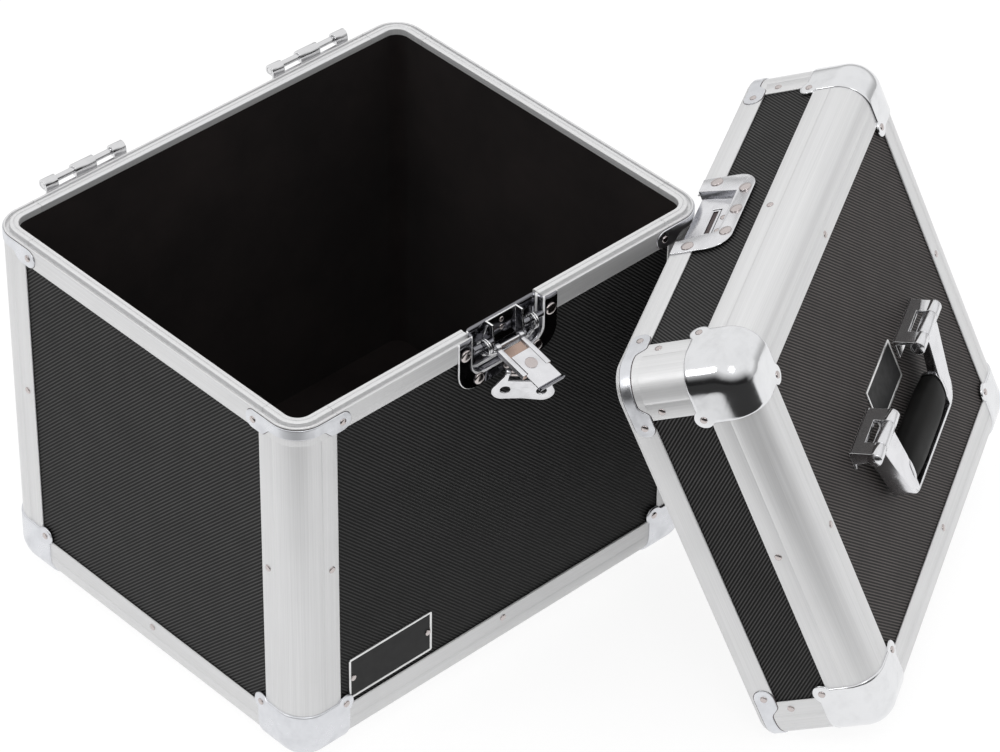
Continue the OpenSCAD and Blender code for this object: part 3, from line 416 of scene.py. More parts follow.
def laminate(name, where, plane, slope, tone):
    """Ribbed laminate: ribs at 45 degrees in the panel's plane, lighter on their crests; the colour
    is darkened in the grooves as painted shade.
    """
    mat, net = new_material(name)
    vector, (x, y, z) = own_axes(net, where)
    a, b = {"xz": (x, z), "yz": (y, z), "xy": (x, y)}[plane]
    across = net.math("MULTIPLY", net.math("SUBTRACT" if slope > 0 else "ADD", a, b), DIAGONAL)
    along = net.math("MULTIPLY", net.math("ADD" if slope > 0 else "SUBTRACT", a, b), DIAGONAL)
    ribs = add_group(net, RIBS, Across=across, Along=along, Pitch=RIB_PITCH)
    mottle = net.noise(vector, 0.035, 4.0, 0.6)
    speck = net.noise(vector, 1.7, 2.0)
    # Painted shade: the colour falls to 0.03 of the tone where the ribs' wave is low, in the
    # grooves; the mottle varies it at random.
    level = net.math("MULTIPLY", ribs.outputs["Rib"], net.span(mottle, 0.3, 0.7, 0.85, 1.15),
                     clamp=True)
    color = net.mix(level, tuple(c * 0.03 for c in tone), tone)
    color = net.mix(net.span(speck, 0.62, 0.8, 0.0, 0.25), color, tuple(c * 1.6 for c in tone))
    rough = net.span(speck, 0.2, 0.8, 0.5, 0.68)
    shader(net, color, 0.0, rough, bump(net, ribs.outputs["Rib"], 0.5, 0.5), specular=0.14)
    return mat


def brushed(name, where, stretch, light, rough=0.4, dark=0.88, metal=0.5):
    """Satin metal with fine streaks along one of the part's axes, dark times as light in their
    hollows."""
    mat, net = new_material(name)
    vector, _ = own_axes(net, where)
    grain = add_group(net, GRAIN, Vector=vector, Stretch=stretch)
    color = net.mix(net.span(grain.outputs["Streaks"], 0.35, 0.65, 0.0, 1.0),
                    tuple(c * dark for c in light), light)
    stain = net.noise(vector, 0.02, 5.0, 0.6)
    color = net.mix(net.span(stain, 0.55, 0.75, 0.0, 0.35), color, tuple(c * 0.9 for c in light))
    r = net.math("ADD", net.span(grain.outputs["Streaks"], 0.3, 0.7, rough - 0.05, rough + 0.06),
                 net.span(stain, 0.4, 0.7, -0.03, 0.05))
    shader(net, color, metal, r, bump(net, grain.outputs["Height"], 0.12, 0.05))
    return mat


def plated(name, light, rough, dapple=0.02, metal=1.0):
    """Plated sheet: bright, with faint smudges and shallow dapples."""
    mat, net = new_material(name)
    vector, _ = own_axes(net, WORLD)
    smudge = net.noise(vector, 0.09, 4.0, 0.65)
    dapples = net.noise(vector, 0.55, 3.0)
    pit = net.noise(vector, 3.1, 2.0)
    color = net.mix(net.span(smudge, 0.45, 0.75, 0.0, 1.0), light, tuple(c * 0.93 for c in light))
    color = net.mix(net.span(pit, 0.7, 0.8, 0.0, 0.08), color,
                    (light[0] * 0.6, light[1] * 0.55, light[2] * 0.55))
    r = net.span(smudge, 0.35, 0.75, rough * 0.75, rough * 1.5)
    shader(net, color, metal, r, bump(net, dapples, dapple * 10, 0.08))
    return mat


def cloth(name):
    """Dark flocked lining: a fine fibre speckle over broad worn patches."""
    mat, net = new_material(name)
    vector, _ = own_axes(net, WORLD)
    patch = net.noise(vector, 0.012, 5.0, 0.65)
    fibre = net.noise(vector, 2.2, 3.0, 0.7)
    color = net.mix(net.span(patch, 0.35, 0.7, 0.0, 1.0), (0.007, 0.0052, 0.0052),
                    (0.016, 0.012, 0.0115))
    color = net.mix(net.span(fibre, 0.55, 0.8, 0.0, 0.7), color, (0.03, 0.022, 0.021))
    shader(net, color, 0.0, 0.9, bump(net, fibre, 0.5, 0.25), sheen=0.05, specular=0.12)
    return mat


def lacquer(name):
    """Black lacquer over metal: nearly even, with a faint haze in its gloss."""
    mat, net = new_material(name)
    vector, _ = own_axes(net, WORLD)
    haze = net.noise(vector, 0.15, 3.0, 0.6)
    color = net.mix(net.span(haze, 0.3, 0.7, 0.0, 1.0), (0.004, 0.004, 0.0045),
                    (0.007, 0.007, 0.0075))
    shader(net, color, 0.0, net.span(haze, 0.3, 0.7, 0.42, 0.55), bump(net, haze, 0.05, 0.1),
           specular=0.25)
    return mat


def rubber(name):
    """Black moulded rubber with a fine matt grain and dull worn patches."""
    mat, net = new_material(name)
    vector, _ = own_axes(net, LID)
    grain = net.noise(vector, 2.6, 2.0)
    worn = net.noise(vector, 0.05, 4.0, 0.6)
    color = net.mix(net.span(worn, 0.4, 0.7, 0.0, 1.0), (0.005, 0.005, 0.005),
                    (0.011, 0.0108, 0.0105))
    shader(net, color, 0.0, net.span(worn, 0.3, 0.7, 0.42, 0.58), bump(net, grain, 0.25, 0.12),
           specular=0.08)
    return mat


ALU = (0.76, 0.76, 0.765)
STREAKS = (("x", (0.01, 1.6, 1.6)), ("y", (1.6, 0.01, 1.6)), ("z", (1.6, 1.6, 0.01)))
ALU_MATS = {(side, axis): brushed(f"Edging, {side}, along {axis}", where, stretch, ALU)
            for side, where in (("box", WORLD), ("lid", LID)) for axis, stretch in STREAKS}
PRESSED = plated("Pressed steel", (0.72, 0.73, 0.76), 0.34, dapple=0.008)
POLISHED = plated("Polished pressed steel", (0.76, 0.765, 0.78), 0.13, dapple=0.006)
CHROME = plated("Bright chrome", (0.70, 0.70, 0.71), 0.07, dapple=0.004)
SATIN = plated("Satin plating", (0.78, 0.78, 0.80), 0.34, dapple=0.01)
SHEET = plated("Bright sheet", (0.74, 0.74, 0.76), 0.22, dapple=0.004)
# Painted highlight: a pale, only partly metallic edge that looks bright whichever way it faces; it
# lines the latch's dish and cradle and the handle's brackets.
PAINTED_HIGHLIGHT_EDGE = plated("Bright edge with a painted highlight", (0.88, 0.88, 0.89), 0.42, metal=0.25)
# Painted reflection: chrome darkened to stand in for a dark room mirrored in it; used on the
# latch's dish, cradle and pins and on the tongue's end.
PAINTED_REFLECTION_DARK = plated("Chrome with a painted dark reflection", (0.24, 0.24, 0.26), 0.12, dapple=0.004)
WARM = plated("Tarnished plating", (0.42, 0.31, 0.26), 0.25)
# Dark steel of the keeper's catch bar; the same colour paints the shadow lines along the rim's
# ears.
DARK_STEEL_AND_SHADOW = plated("Dark steel and painted shadow", (0.09, 0.07, 0.07), 0.3)
RIVET = plated("Rivet steel", (0.56, 0.51, 0.50), 0.2, dapple=0.003)
PLATE_BORDER = plated("Plate border", (0.78, 0.78, 0.78), 0.35)
LINING = cloth("Flocked lining")
RUBBER = rubber("Moulded rubber")
PLATE_FIELD = lacquer("Black lacquered field")
# Tones of one laminate: the box's front and back are darker as painted shade, and the lid's top
# lighter and warmer as painted light, than the other panels.
DARK = (0.076, 0.075, 0.075)
DARK_SHADED_FRONT = (0.052, 0.052, 0.052)
DARK_WARM_LIT_TOP = (0.120, 0.105, 0.102)
BOX_FRONT = laminate("Ribbed laminate, box front", WORLD, "xz", -1, DARK_SHADED_FRONT)
BOX_SIDE = laminate("Ribbed laminate, box side", WORLD, "yz", -1, DARK)
BOX_FLOOR = laminate("Ribbed laminate, box floor", WORLD, "xy", 1, DARK)
LID_FRONT = laminate("Ribbed laminate, lid front", LID, "xz", 1, DARK)
LID_SIDE = laminate("Ribbed laminate, lid side", LID, "yz", -1, DARK)
LID_TOP = laminate("Ribbed laminate, lid top", LID, "xy", -1, DARK_WARM_LIT_TOP)


def paint(node, material):
    """A CAD node keeps its shape and gets this material."""
    mesh = nodes[node].data
    mesh.materials.clear()
    mesh.materials.append(material)


PANELS = {
    "front_panel": BOX_FRONT, "back_panel": BOX_FRONT, "left_panel": BOX_SIDE,
    "right_panel": BOX_SIDE, "floor_panel": BOX_FLOOR, "lid_front_panel": LID_FRONT,
    "lid_back_panel": LID_FRONT, "lid_left_panel": LID_SIDE, "lid_right_panel": LID_SIDE,
    "lid_top_panel": LID_TOP, "handle_grip": RUBBER,
}
for name in nodes:
    side = "lid" if name.startswith("lid_") else "box"
    if name in PANELS:
        paint(name, PANELS[name])
    elif "lining" in name:
        paint(name, LINING)
    elif name.startswith(("upright_", "lid_uprights")):
        paint(name, ALU_MATS[side, "z"])
    elif name.endswith(("_front", "_back")):
        paint(name, ALU_MATS[side, "x"])
    elif name.endswith(("_left", "_right")):
        paint(name, ALU_MATS[side, "y"])
    elif "rivets" in name:
        paint(name, RIVET)
    elif "corners" in name:
        paint(name, PRESSED)
    else:
        paint(name, CHROME)


# ---- pressed and rolled sheet: edging, rails and corners ----

def edging_outline(leg=EDGE_LEG, r=EDGE_R, t=SKIN):
    """Section of the edging's sheet as (inwards, up): flange, quarter circle of radius r, flange.
    Free edges are half circles of the sheet's thickness, and a scored line 0.1 deep and 0.7
    wide runs on each flange 1.6 beyond the round."""
    score = np.array([[r + 2.0, 0], [r + 1.8, 0.1], [r + 1.5, 0.1], [r + 1.3, 0]])
    return np.vstack([
        arc(t / 2, leg - t / 2, t / 2, 90, 180, 5), score[:, ::-1], arc(r, r, r, 180, 270, 33),
        score[::-1], arc(leg - t / 2, t / 2, t / 2, 270, 450, 9),
        arc(r, r, r - t, 270, 180, 17), [[t, leg - t / 2]],
    ])


def box_rail_outline():
    """Section of the box's rim as (inwards, up from the rim): outer flange with a rounded top,
    groove, and an inner ridge with two rounded shoulders and a scored line along its middle."""
    return np.vstack([
        arc(0.75, -BAND + 0.75, 0.75, 360, 180, 7), arc(0.75, -0.75, 0.75, 180, 0, 9),
        [[1.6, -2.2], [1.9, -2.5], [3.6, -2.5], [3.9, -2.2]],
        arc(4.7, 0.2, 0.7, 180, 90, 5), [[6.2, 0.9], [6.5, 0.4], [7.1, 0.4], [7.4, 0.9]],
        arc(9.2, 0.1, 0.8, 90, 0, 5), [[WALL, -SEAT], [SKIN, -SEAT]],
    ])


def lid_rail_outline():
    """Section of the lid's rim as (inwards, up from the rim): outer flange, tongue and land."""
    return np.vstack([
        arc(0.75, BAND - 0.75, 0.75, 0, 180, 7), arc(0.6, 0.6, 0.6, 180, 270, 5), [[1.8, 0]],
        arc(2.5, -1.5, 0.6, 180, 360, 5), [[3.4, 1.4]],
        [[6.2, 1.4], [6.5, 1.8], [7.1, 1.8], [7.4, 1.4]], arc(9.3, 2.1, 0.7, 270, 360, 5),
        [[WALL, SEAT], [SKIN, SEAT]],
    ])


def round_corner(outline, leg=EDGE_LEG - EDGE_R - 0.25, r=EDGE_R, steps=17):
    """The rail's section carried along one leg, round a quarter circle and along the other leg.
    On the circle, a point at depth a lies r - a from the middle (r, r)."""
    a, b = outline[:, 0], outline[:, 1]
    first = np.stack([np.stack([np.full_like(a, x), a, b], -1) for x in (r + leg, r + leg / 2)])
    t = np.radians(np.linspace(270, 180, steps))[:, None]
    bend = np.stack([r + (r - a) * np.cos(t), r + (r - a) * np.sin(t),
                     np.broadcast_to(b, (steps, len(b)))], -1)
    last = np.stack([np.stack([a, np.full_like(a, y), b], -1) for y in (r + leg / 2, r + leg)])
    return outward(tube(np.concatenate([first, bend, last])))


def rolled(distance, width):
    """Height of a rolled edge: a quarter circle that rises from 0 to 1 over the given width."""
    return np.sqrt(np.clip(1 - (1 - np.clip(distance / width, 0, 1)) ** 2, 0, 1))


def two_layers(top, bottom):
    """A closed sheet from two grids of points that meet along their whole border."""
    rows, cols = top.shape[:2]
    faces = grid_faces(rows, cols)
    under = [tuple(i + rows * cols for i in f[::-1]) for f in faces]
    return np.vstack([top.reshape(-1, 3), bottom.reshape(-1, 3)]), faces + under


def ear_band(grow=0.0, thick=BRACKET_T):
    """Sheet round a rim corner, laid flat as (s along the rim from the corner's middle, depth).
    It is EAR_BAND deep, widens by a smooth step to the rim band, ends in half circles, and its
    height over the rail rolls down to nothing at its edges. The bend wraps s round the corner."""
    half_bend, ear_r = EDGE_R * np.pi / 4, (BAND - SKIN) / 2
    end = EAR_IN - EDGE_R + half_bend + ear_r
    fine = 1 - np.cos(np.linspace(0, np.pi / 2, 14))
    s = np.concatenate([-end + ear_r * fine, np.linspace(-end + ear_r, end - ear_r, 61)[1:-1],
                        (end - ear_r * fine)[::-1]])
    beyond = np.clip((np.abs(s) - (end - ear_r)) / ear_r, 0, 1)
    round_end = ear_r * (1 - np.sqrt(np.clip(1 - beyond ** 2, 0, 1)))
    step = np.clip((np.abs(s) - half_bend - 2.5) / 8, 0, 1)
    low = EAR_BAND + (BAND - EAR_BAND) * step * step * (3 - 2 * step) - round_end + grow
    high = SKIN + round_end - grow
    w = np.array([0, 0.008, 0.025, 0.05, 0.1, 0.25, 0.5, 0.75, 0.9, 0.95, 0.975, 0.992, 1])
    depth = high[:, None] + (low - high)[:, None] * w
    s2 = np.broadcast_to(s[:, None], depth.shape)
    edge = np.minimum(np.minimum(depth - high[:, None], low[:, None] - depth), end - np.abs(s2))
    lift = thick * rolled(edge, 0.35)

    def wrapped(out):
        turn = np.clip(s2 / half_bend, -1, 1) * np.pi / 4 + np.radians(225)
        past = np.abs(s2) - half_bend
        x = EDGE_R + (EDGE_R + out) * np.cos(turn) + np.where(s2 > half_bend, past, 0)
        y = EDGE_R + (EDGE_R + out) * np.sin(turn) + np.where(s2 < -half_bend, past, 0)
        return np.stack([x, y, -depth], -1)

    return outward(two_layers(wrapped(lift), wrapped(np.zeros_like(lift))))


def ball_sheet(count=44):
    """Pressed corner over three rounded edges, its sharp corner at the origin. On each face a
    point (a, b) counts from the end of the bend; below 0 it turns round the bend by a / r, so
    its direction is (tan, tan, 1) to length 1. The sheet's outline is a square with a round
    lobe, and every point is m times the way from the middle of the ball to that outline."""
    r, turn = EDGE_R, EDGE_R * np.pi / 4
    reach, lobe = CORNER_REACH - r, LOBE_IN - r
    q = np.linspace(0, np.pi / 2, 4 * count + 1)
    ray = np.stack([np.cos(q), np.sin(q)], -1)
    square = (reach + turn) / np.maximum(ray[:, 0], ray[:, 1])
    along = ray @ np.array([lobe + turn, lobe + turn])
    inside = LOBE_R ** 2 - (2 * (lobe + turn) ** 2 - along ** 2)
    circle = np.where(inside > 0, along + np.sqrt(np.maximum(inside, 0)), 0)
    size = np.maximum(square, circle)
    pick = np.unique(np.concatenate([np.linspace(0, 4 * count, count // 2 + 1).astype(int),
                                     np.arange(int(1.45 * count), int(2.55 * count) + 1)]))
    ray, size = ray[pick], size[pick]
    near_edge = np.array([2.4, 1.2, 0.7, 0.4, 0.18, 0.05, 0]) / 62
    m = np.concatenate([np.linspace(0, 0.93, 22), 1 - near_edge])
    a = (m[:, None] * (size * ray[:, 0]))[..., None] - turn
    b = (m[:, None] * (size * ray[:, 1]))[..., None] - turn
    lift = CORNER_T * rolled((1 - m)[:, None] * size[None, :], 1.3)[..., None]

    def face(out):
        g = np.concatenate([np.tan(np.clip(-a, 0, turn) / r), np.tan(np.clip(-b, 0, turn) / r),
                            np.ones_like(a)], -1)
        way = g / np.linalg.norm(g, axis=-1, keepdims=True)
        base = [r + np.clip(a, 0, None), r + np.clip(b, 0, None), np.full_like(a, r)]
        return np.concatenate(base, -1) - (r + out) * way

    parts = []
    for order in ((0, 1, 2), (2, 0, 1), (1, 2, 0)):
        top, under = face(lift)[..., order], face(0 * lift)[..., order]
        parts.append(outward(two_layers(top, under)))
    return parts


def closed(piece):
    """Merge the doubled points of a piece, then let its normals point outwards."""
    merged(piece.data, piece.data, 2e-6, outwards=True)
    piece.data.set_sharp_from_angle(angle=SHARP)


EDGING, BOX_RAIL, LID_RAIL = edging_outline(), box_rail_outline(), lid_rail_outline()
UPRIGHT = slab(EDGING, BASE_Z + SHEET_END, RIM_Z - BAND + UNDER_BAND)
CORNER_NAMES = ("front_left", "front_right", "back_right", "back_left")
WALL_NAMES = ("front", "right", "back", "left")

for k in range(4):
    build("upright_sheet_" + CORNER_NAMES[k], "case", ALU_MATS["box", "z"],
          [(*UPRIGHT, at_corner(k))], ["upright_" + CORNER_NAMES[k]])
    axis = "x" if k % 2 == 0 else "y"
    length = wall_len(k) - 2 * SHEET_END
    build("base_sheet_" + WALL_NAMES[k], "case", ALU_MATS["box", axis],
          [(*run_along_x(EDGING, length), BOX_BASE @ on_wall(k))], ["base_edging_" + WALL_NAMES[k]])
    build("lid_edge_sheet_" + WALL_NAMES[k], "lid", ALU_MATS["lid", axis],
          [(*run_along_x(EDGING, length), LID_TURNED @ on_wall(k))],
          ["lid_edging_" + WALL_NAMES[k]])
    rail = wall_len(k) - 2 * EDGE_LEG
    for body, side, outline, where, prefix, gap in (
            ("case", "box", BOX_RAIL, BOX_RIM, "rim_rail_", BOX_NOTCH),
            ("lid", "lid", LID_RAIL, LID, "lid_rail_", LID_NOTCH)):
        half = (rail - gap) / 2
        spans = [(-rail / 2, rail)] if k else [(-rail / 2, half), (gap / 2, half)]
        build(prefix + "sheet_" + WALL_NAMES[k], body, ALU_MATS[side, axis],
              [(*run_along_x(outline, long, start), where @ on_wall(k)) for start, long in spans],
              [prefix + WALL_NAMES[k]])

build("lid_upright_sheets", "lid", ALU_MATS["lid", "z"],
      [(*slab(EDGING, BAND - UNDER_BAND, LID_H - SHEET_END), LID @ at_corner(k)) for k in range(4)],
      ["lid_uprights"])
for body, side, outline, where, turn_over in (
        ("case", "box", BOX_RAIL, BOX_RIM, WORLD), ("lid", "lid", LID_RAIL, LID, FLIP)):
    build(side + "_rim_bends", body, ALU_MATS[side, "z"],
          [(*round_corner(outline), where @ at_corner(k)) for k in range(4)],
          [side + "_rim_corners"])
    closed(build(side + "_rim_ears", body, PRESSED,
                 [(*ear_band(), where @ turn_over @ at_corner(k)) for k in range(4)],
                 [side + "_rim_corners"]))
    # Painted shadow: a thin dark sheet under each ear, 0.45 wider at both its edges across the
    # band, shows as a dark line along the ear's edge.
    build(side + "_rim_ear_painted_shadows", body, DARK_STEEL_AND_SHADOW,
          [(*ear_band(0.45, 0.12), where @ turn_over @ at_corner(k)) for k in range(4)])
BALL = ball_sheet()
for body, side, where, steel in (("case", "box", BOX_BASE, PRESSED),
                                 ("lid", "lid", LID_TURNED, POLISHED)):
    closed(build(side + "_ball_sheets", body, steel,
                 [(*part, where @ at_corner(k)) for k in range(4) for part in BALL],
                 [side + "_ball_corners"]))


# ---- rivets ----

def wall_rivet(k, along, up, out=0.0, r=RIVET_R, h=RIVET_H):
    return (*dome(r, h), on_wall(k) @ moved(along, -out, up) @ OUT)


def plate_rivets(up):
    """Five large rivets round the latch dish or the keeper; up is -1 on the box, 1 on the lid."""
    r, h, side = 4.3, 1.5, 36.1
    spots = [(-side, 11), (side, 11), (11.5 - side, 34.2), (side - 11.5, 34.2), (0, 34.7)]
    return [wall_rivet(0, x, up * z, 1.2, r, h) for x, z in spots]


def all_rivets(lobe_z, ear_z, flange_z, edge_z):
    """Rivets of the box's or the lid's four walls: lobes, ears, uprights' and edgings' middles."""
    parts = []
    for k in range(4):
        half = wall_len(k) / 2
        for s in (-1, 1):
            parts.append(wall_rivet(k, s * (half - LOBE_IN), lobe_z, CORNER_T))
            parts.append(wall_rivet(k, s * (half - EAR_IN), ear_z, BRACKET_T))
            parts.append(wall_rivet(k, s * (half - 28), flange_z))
        parts.append(wall_rivet(k, 0, edge_z))
    return parts


def in_place(parts, where):
    return [(pts, faces, where @ own) for pts, faces, own in parts]


hinge_spots = [s * 96 + e * 22 for s in (-1, 1) for e in (-1, 1)]
box_parts = all_rivets(BASE_Z + LOBE_IN, RIM_Z - 8.25, BASE_Z + 155, BASE_Z + 28)
box_parts += in_place(plate_rivets(-1) + [wall_rivet(2, x, -20, 1.5) for x in hinge_spots], BOX_RIM)
box_parts += in_place([wall_rivet(0, 0, -z, -POCKET, 2.0, 0.8) for z in (4.5, 10.5)], BOX_RIM)
build("box_rivet_heads", "case", RIVET, box_parts, ["box_rivets"])
lid_parts = all_rivets(LID_H - LOBE_IN, 8.25, 23.5, LID_H - 28)
lid_parts += plate_rivets(1) + [wall_rivet(2, x, 20, 1.5) for x in hinge_spots]
lid_parts += [wall_rivet(0, x, 22.4, -POCKET, 2.2, 1.0) for x in (-3, 12)]
HEAD = dome(RIVET_R, RIVET_H)
lid_parts += [(*HEAD, on_wall(k) @ moved(0, 28, LID_H)) for k in range(4)]
lid_parts += [(*HEAD, at_corner(k) @ moved(LOBE_IN, LOBE_IN, LID_H + CORNER_T)) for k in range(4)]
build("lid_rivet_heads", "lid", RIVET, in_place(lid_parts, LID), ["lid_rivets"])


# ---- latch and keeper ----

def u_line(half_w, depth, r, top, count=13):
    """An open U in the wall's plane as (along, up): down one side, round two corners of radius
    r to the level of depth below the rim, and up the other side."""
    sides = np.linspace(top, -depth + r, 6)[:-1]
    left = np.column_stack([np.full(5, -half_w), sides])
    flat = np.column_stack([np.linspace(-half_w + r, half_w - r, 9)[1:-1], np.full(7, -depth)])
    return np.vstack([left, arc(-half_w + r, -depth + r, r, 180, 270, count), flat,
                      arc(half_w - r, -depth + r, r, 270, 360, count), (left * [-1, 1])[::-1]])


def pressed_plate(rings):
    """Sheet through U lines given as (half width, depth, radius, top, inwards), from the outer
    edge of the flange to the floor of the pocket, which closes along its middle."""
    grid = []
    for half_w, depth, r, top, inward in rings:
        line = u_line(half_w, depth, r, top)
        grid.append(np.column_stack([line[:, 0], np.full(len(line), inward), line[:, 1]]))
    last = grid[-1]
    return np.array(grid + [last * [0.5, 1, 1], last * [0, 1, 1]])


def sheet_piece(name, body, material, grid, where, node, thick, bevel=0.0, other=None,
                tones=()):
    """An open sheet from a grid of points, given its thickness by Solidify. Tones holds, for
    each strip between two rows, 0 for the first material and 1 for the other."""
    part = (grid.reshape(-1, 3), grid_faces(*grid.shape[:2]), where)
    piece = build(name, body, material, [part], [node])
    if other:
        piece.data.materials.append(other)
        strip = len(piece.data.polygons) // len(tones)
        piece.data.polygons.foreach_set("material_index", np.repeat(tones, strip))
    merged(piece.data, piece.data)
    mod = piece.modifiers.new("Sheet", "SOLIDIFY")
    mod.thickness, mod.offset, mod.use_even_offset = thick / 1000, -1.0, True
    if bevel:
        round_edges(piece, bevel, 50)
    return piece


def rounded_copy(name, node, body, material, width, rim=None):
    """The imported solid, merged, its flat triangles joined, and its sharp edges rounded. The
    rounded edges take the rim material where one is given."""
    mesh = bpy.data.meshes.new(name)
    merged(nodes[node].data, mesh, flat_angle=1.0)
    mesh.polygons.foreach_set("use_smooth", np.ones(len(mesh.polygons), bool))
    mesh.materials.clear()
    mesh.materials.append(material)
    piece = bpy.data.objects.new(name, mesh)
    bpy.context.scene.collection.objects.link(piece)
    mod = round_edges(piece, width, 32)
    if rim:
        mesh.materials.append(rim)
        mod.material = 1
    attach(piece, body)
    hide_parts(node)
    return piece


def tint(piece, material, where, chosen, flat=False):
    """Another material, and flat shading where asked, for the faces whose middles, in the
    part's own axes, are chosen."""
    mesh = piece.data
    middle, index = np.empty(len(mesh.polygons) * 3), np.empty(len(mesh.polygons), int)
    mesh.polygons.foreach_get("center", middle)
    mesh.polygons.foreach_get("material_index", index)
    own = (middle.reshape(-1, 3) * 1000 - where[:3, 3]) @ where[:3, :3]
    mesh.materials.append(material)
    index[chosen(own)] = len(mesh.materials) - 1
    mesh.polygons.foreach_set("material_index", index)
    if flat:
        mesh.polygons.foreach_set("use_smooth", ~chosen(own))


DISH_RINGS = [
    (42, 40, 15, 0, -0.1), (42, 40, 15, 0, -0.7), (41.5, 39.5, 14.6, 0, -1.2),
    (33.5, 34.2, 11.5, 0, -1.2), (31.2, 32, 10.5, 0.3, -0.9), (30, 30.8, 9.7, 0.7, -0.2),
    (29.4, 30.2, 9.2, 1, 0.8), (29.2, 30, 9, 1, 4.0), (28.7, 29.5, 8.6, 1, 5.6),
    (27.6, 28.4, 7.6, 1, 6.5), (26.0, 26.8, 6.2, 1, 6.8),
]
FRONT_RIM = BOX_RIM @ on_wall(0)
# The dish's strips alternate a dark painted reflection with bright strips of painted highlight, as
# the tones say.
sheet_piece("latch_dish_sheet", "case", PAINTED_REFLECTION_DARK, pressed_plate(DISH_RINGS),
            FRONT_RIM, "latch_dish", 0.9, other=PAINTED_HIGHLIGHT_EDGE, tones=(1, 1, 0, 0, 1, 0, 0, 1, 0, 0, 0, 0))
# The cradle is darkened as a painted reflection; its rounded edges and top faces are bright as a
# painted highlight.
cradle = rounded_copy("cradle_channel", "latch_cradle", "case", PAINTED_REFLECTION_DARK, 0.4,
                      rim=PAINTED_HIGHLIGHT_EDGE)
tint(cradle, PAINTED_HIGHLIGHT_EDGE, WORLD, lambda p: p[:, 2] > p[:, 2].max() - 0.3)
pins = rounded_copy("latch_pin_heads", "latch_pins", "case", CHROME, 0.3)
# Painted reflection: the pins' outer ends are darkened.
tint(pins, PAINTED_REFLECTION_DARK, FRONT_RIM,
     lambda p: (np.abs(p[:, 0]) > 13.6) & (p[:, 2] > -14.5) & (p[:, 1] > -2.5))
arms = rounded_copy("draw_frame_arms", "draw_frame", "draw_frame", SATIN, 0.35)
tint(arms, WARM, LATCH, lambda p: (np.abs(p[:, 0]) < 7) & (p[:, 2] > -2.6) & (p[:, 1] < -2))
rounded_copy("wing_plate", "wing", "wing", SATIN, 0.35)
rounded_copy("wing_pin_bar", "wing_pin", "wing", CHROME, 0.2)
rounded_copy("keeper_sheet", "keeper_plate", "lid", SHEET, 0.5)


def slot_frame(x0, x1, z0, z1, wide, deep):
    """A flat ring round a slot, as (x, z) outlines on two levels, joined at both borders."""
    rings = []
    for inset, y in ((0, deep), (0, deep - 0.5), (wide, deep - 0.5), (wide, deep)):
        left, right, low, high = x0 + inset, x1 - inset, z0 + inset, z1 - inset
        ring = [(left, low), (right, low), (right, high), (left, high)]
        rings.append([[x, y, z] for x, z in ring])
    rings = np.array(rings, float)
    return outward((rings.reshape(-1, 3), grid_faces(4, 4, close_rows=True, close_cols=True)))


build("keeper_catch_rim", "lid", SATIN,
      [(*slot_frame(-12.2, 15.4, 12.2, 18.6, 1.3, POCKET), LID @ on_wall(0))], bevel=0.15)
build("keeper_catch_bar", "lid", DARK_STEEL_AND_SHADOW,
      [(*outward(tube(np.array([[[x, 5.8, 12.8], [x, 5.8, 18.0], [x, 7.4, 18.0], [x, 7.4, 12.8]]
                                for x in (-11.4, 14.6)], float))), LID @ on_wall(0))])


def tongue_sheet():
    """Tongue as a strip: its side view runs level, drops into a half-round trough of radius 1.4
    and ends in a low lip; its half width steps from 7.7 to 9.8 beyond the frame's arms."""
    level = np.linspace(-10.9, -38.0, 34)
    lip = [[-40.95, 0.0], [-41.0, 0.6], [-41.3, 1.0], [-41.55, 1.0]]
    side = np.vstack([np.column_stack([level, np.full(34, -0.8)]),
                      arc(-39.5, -0.9, 1.4, 0, -180, 15), lip])
    half = np.where(side[:, 0] > -26.9, 7.7, 9.8)
    across = np.linspace(-1, 1, 9)
    return np.stack([half[:, None] * across, np.repeat(side[:, :1], 9, 1),
                     np.repeat(side[:, 1:], 9, 1)], -1)


def helix(radius, pitch, turns, wire, start, centre, tails, per_turn=24, sides=10):
    """Wire along a helix round x that begins at its back, with a straight tail to each end."""
    t = np.linspace(0, turns, int(turns * per_turn) + 1)
    path = np.column_stack([start + pitch * t, centre[0] + radius * np.cos(2 * np.pi * t),
                            centre[1] - radius * np.sin(2 * np.pi * t)])
    path = np.vstack([tails[0], path, tails[1]])
    way = np.gradient(path, axis=0)
    way /= np.linalg.norm(way, axis=1, keepdims=True)
    side = np.cross(way, [1.0, 0.12, 0.05])
    side /= np.linalg.norm(side, axis=1, keepdims=True)
    up = np.cross(way, side)
    a = np.linspace(0, 2 * np.pi, sides, endpoint=False)[:, None]
    rings = path[:, None] + wire / 2 * (np.cos(a) * side[:, None] + np.sin(a) * up[:, None])
    return outward(tube(rings))


tongue = sheet_piece("tongue_strip", "tongue", SATIN, tongue_sheet(), LATCH,
                     "tongue", 1.0, bevel=0.25)
# Painted reflection: the tongue's trough and lip are darkened.
tint(tongue, PAINTED_REFLECTION_DARK, LATCH, lambda p: p[:, 1] < -38.5)
coil = helix(5.1, 1.7, 2.25, 1.3, 18.2, (-1.0, -12.2),
             ([[13.4, 3.6, -1.2], [14.4, 4.0, -2.4]], [[18.0, -4.6, -17.6], [14.2, -5.2, -17.9]]))
build("spring_wires", "case", CHROME,
      [(*coil, FRONT_RIM), (*coil, FRONT_RIM @ MIRRORED)], ["latch_springs"])
rounded_copy("spindle_barrel", "wing_spindle", "wing_spindle", RIVET, 0.25)
build("spindle_disc", "wing_spindle", RIVET,
      [(*dome(4.1, 1.55, skirt=0.8, sides=40), LATCH @ moved(0, SPINDLE_Y, -0.5))])


# ---- hinges ----

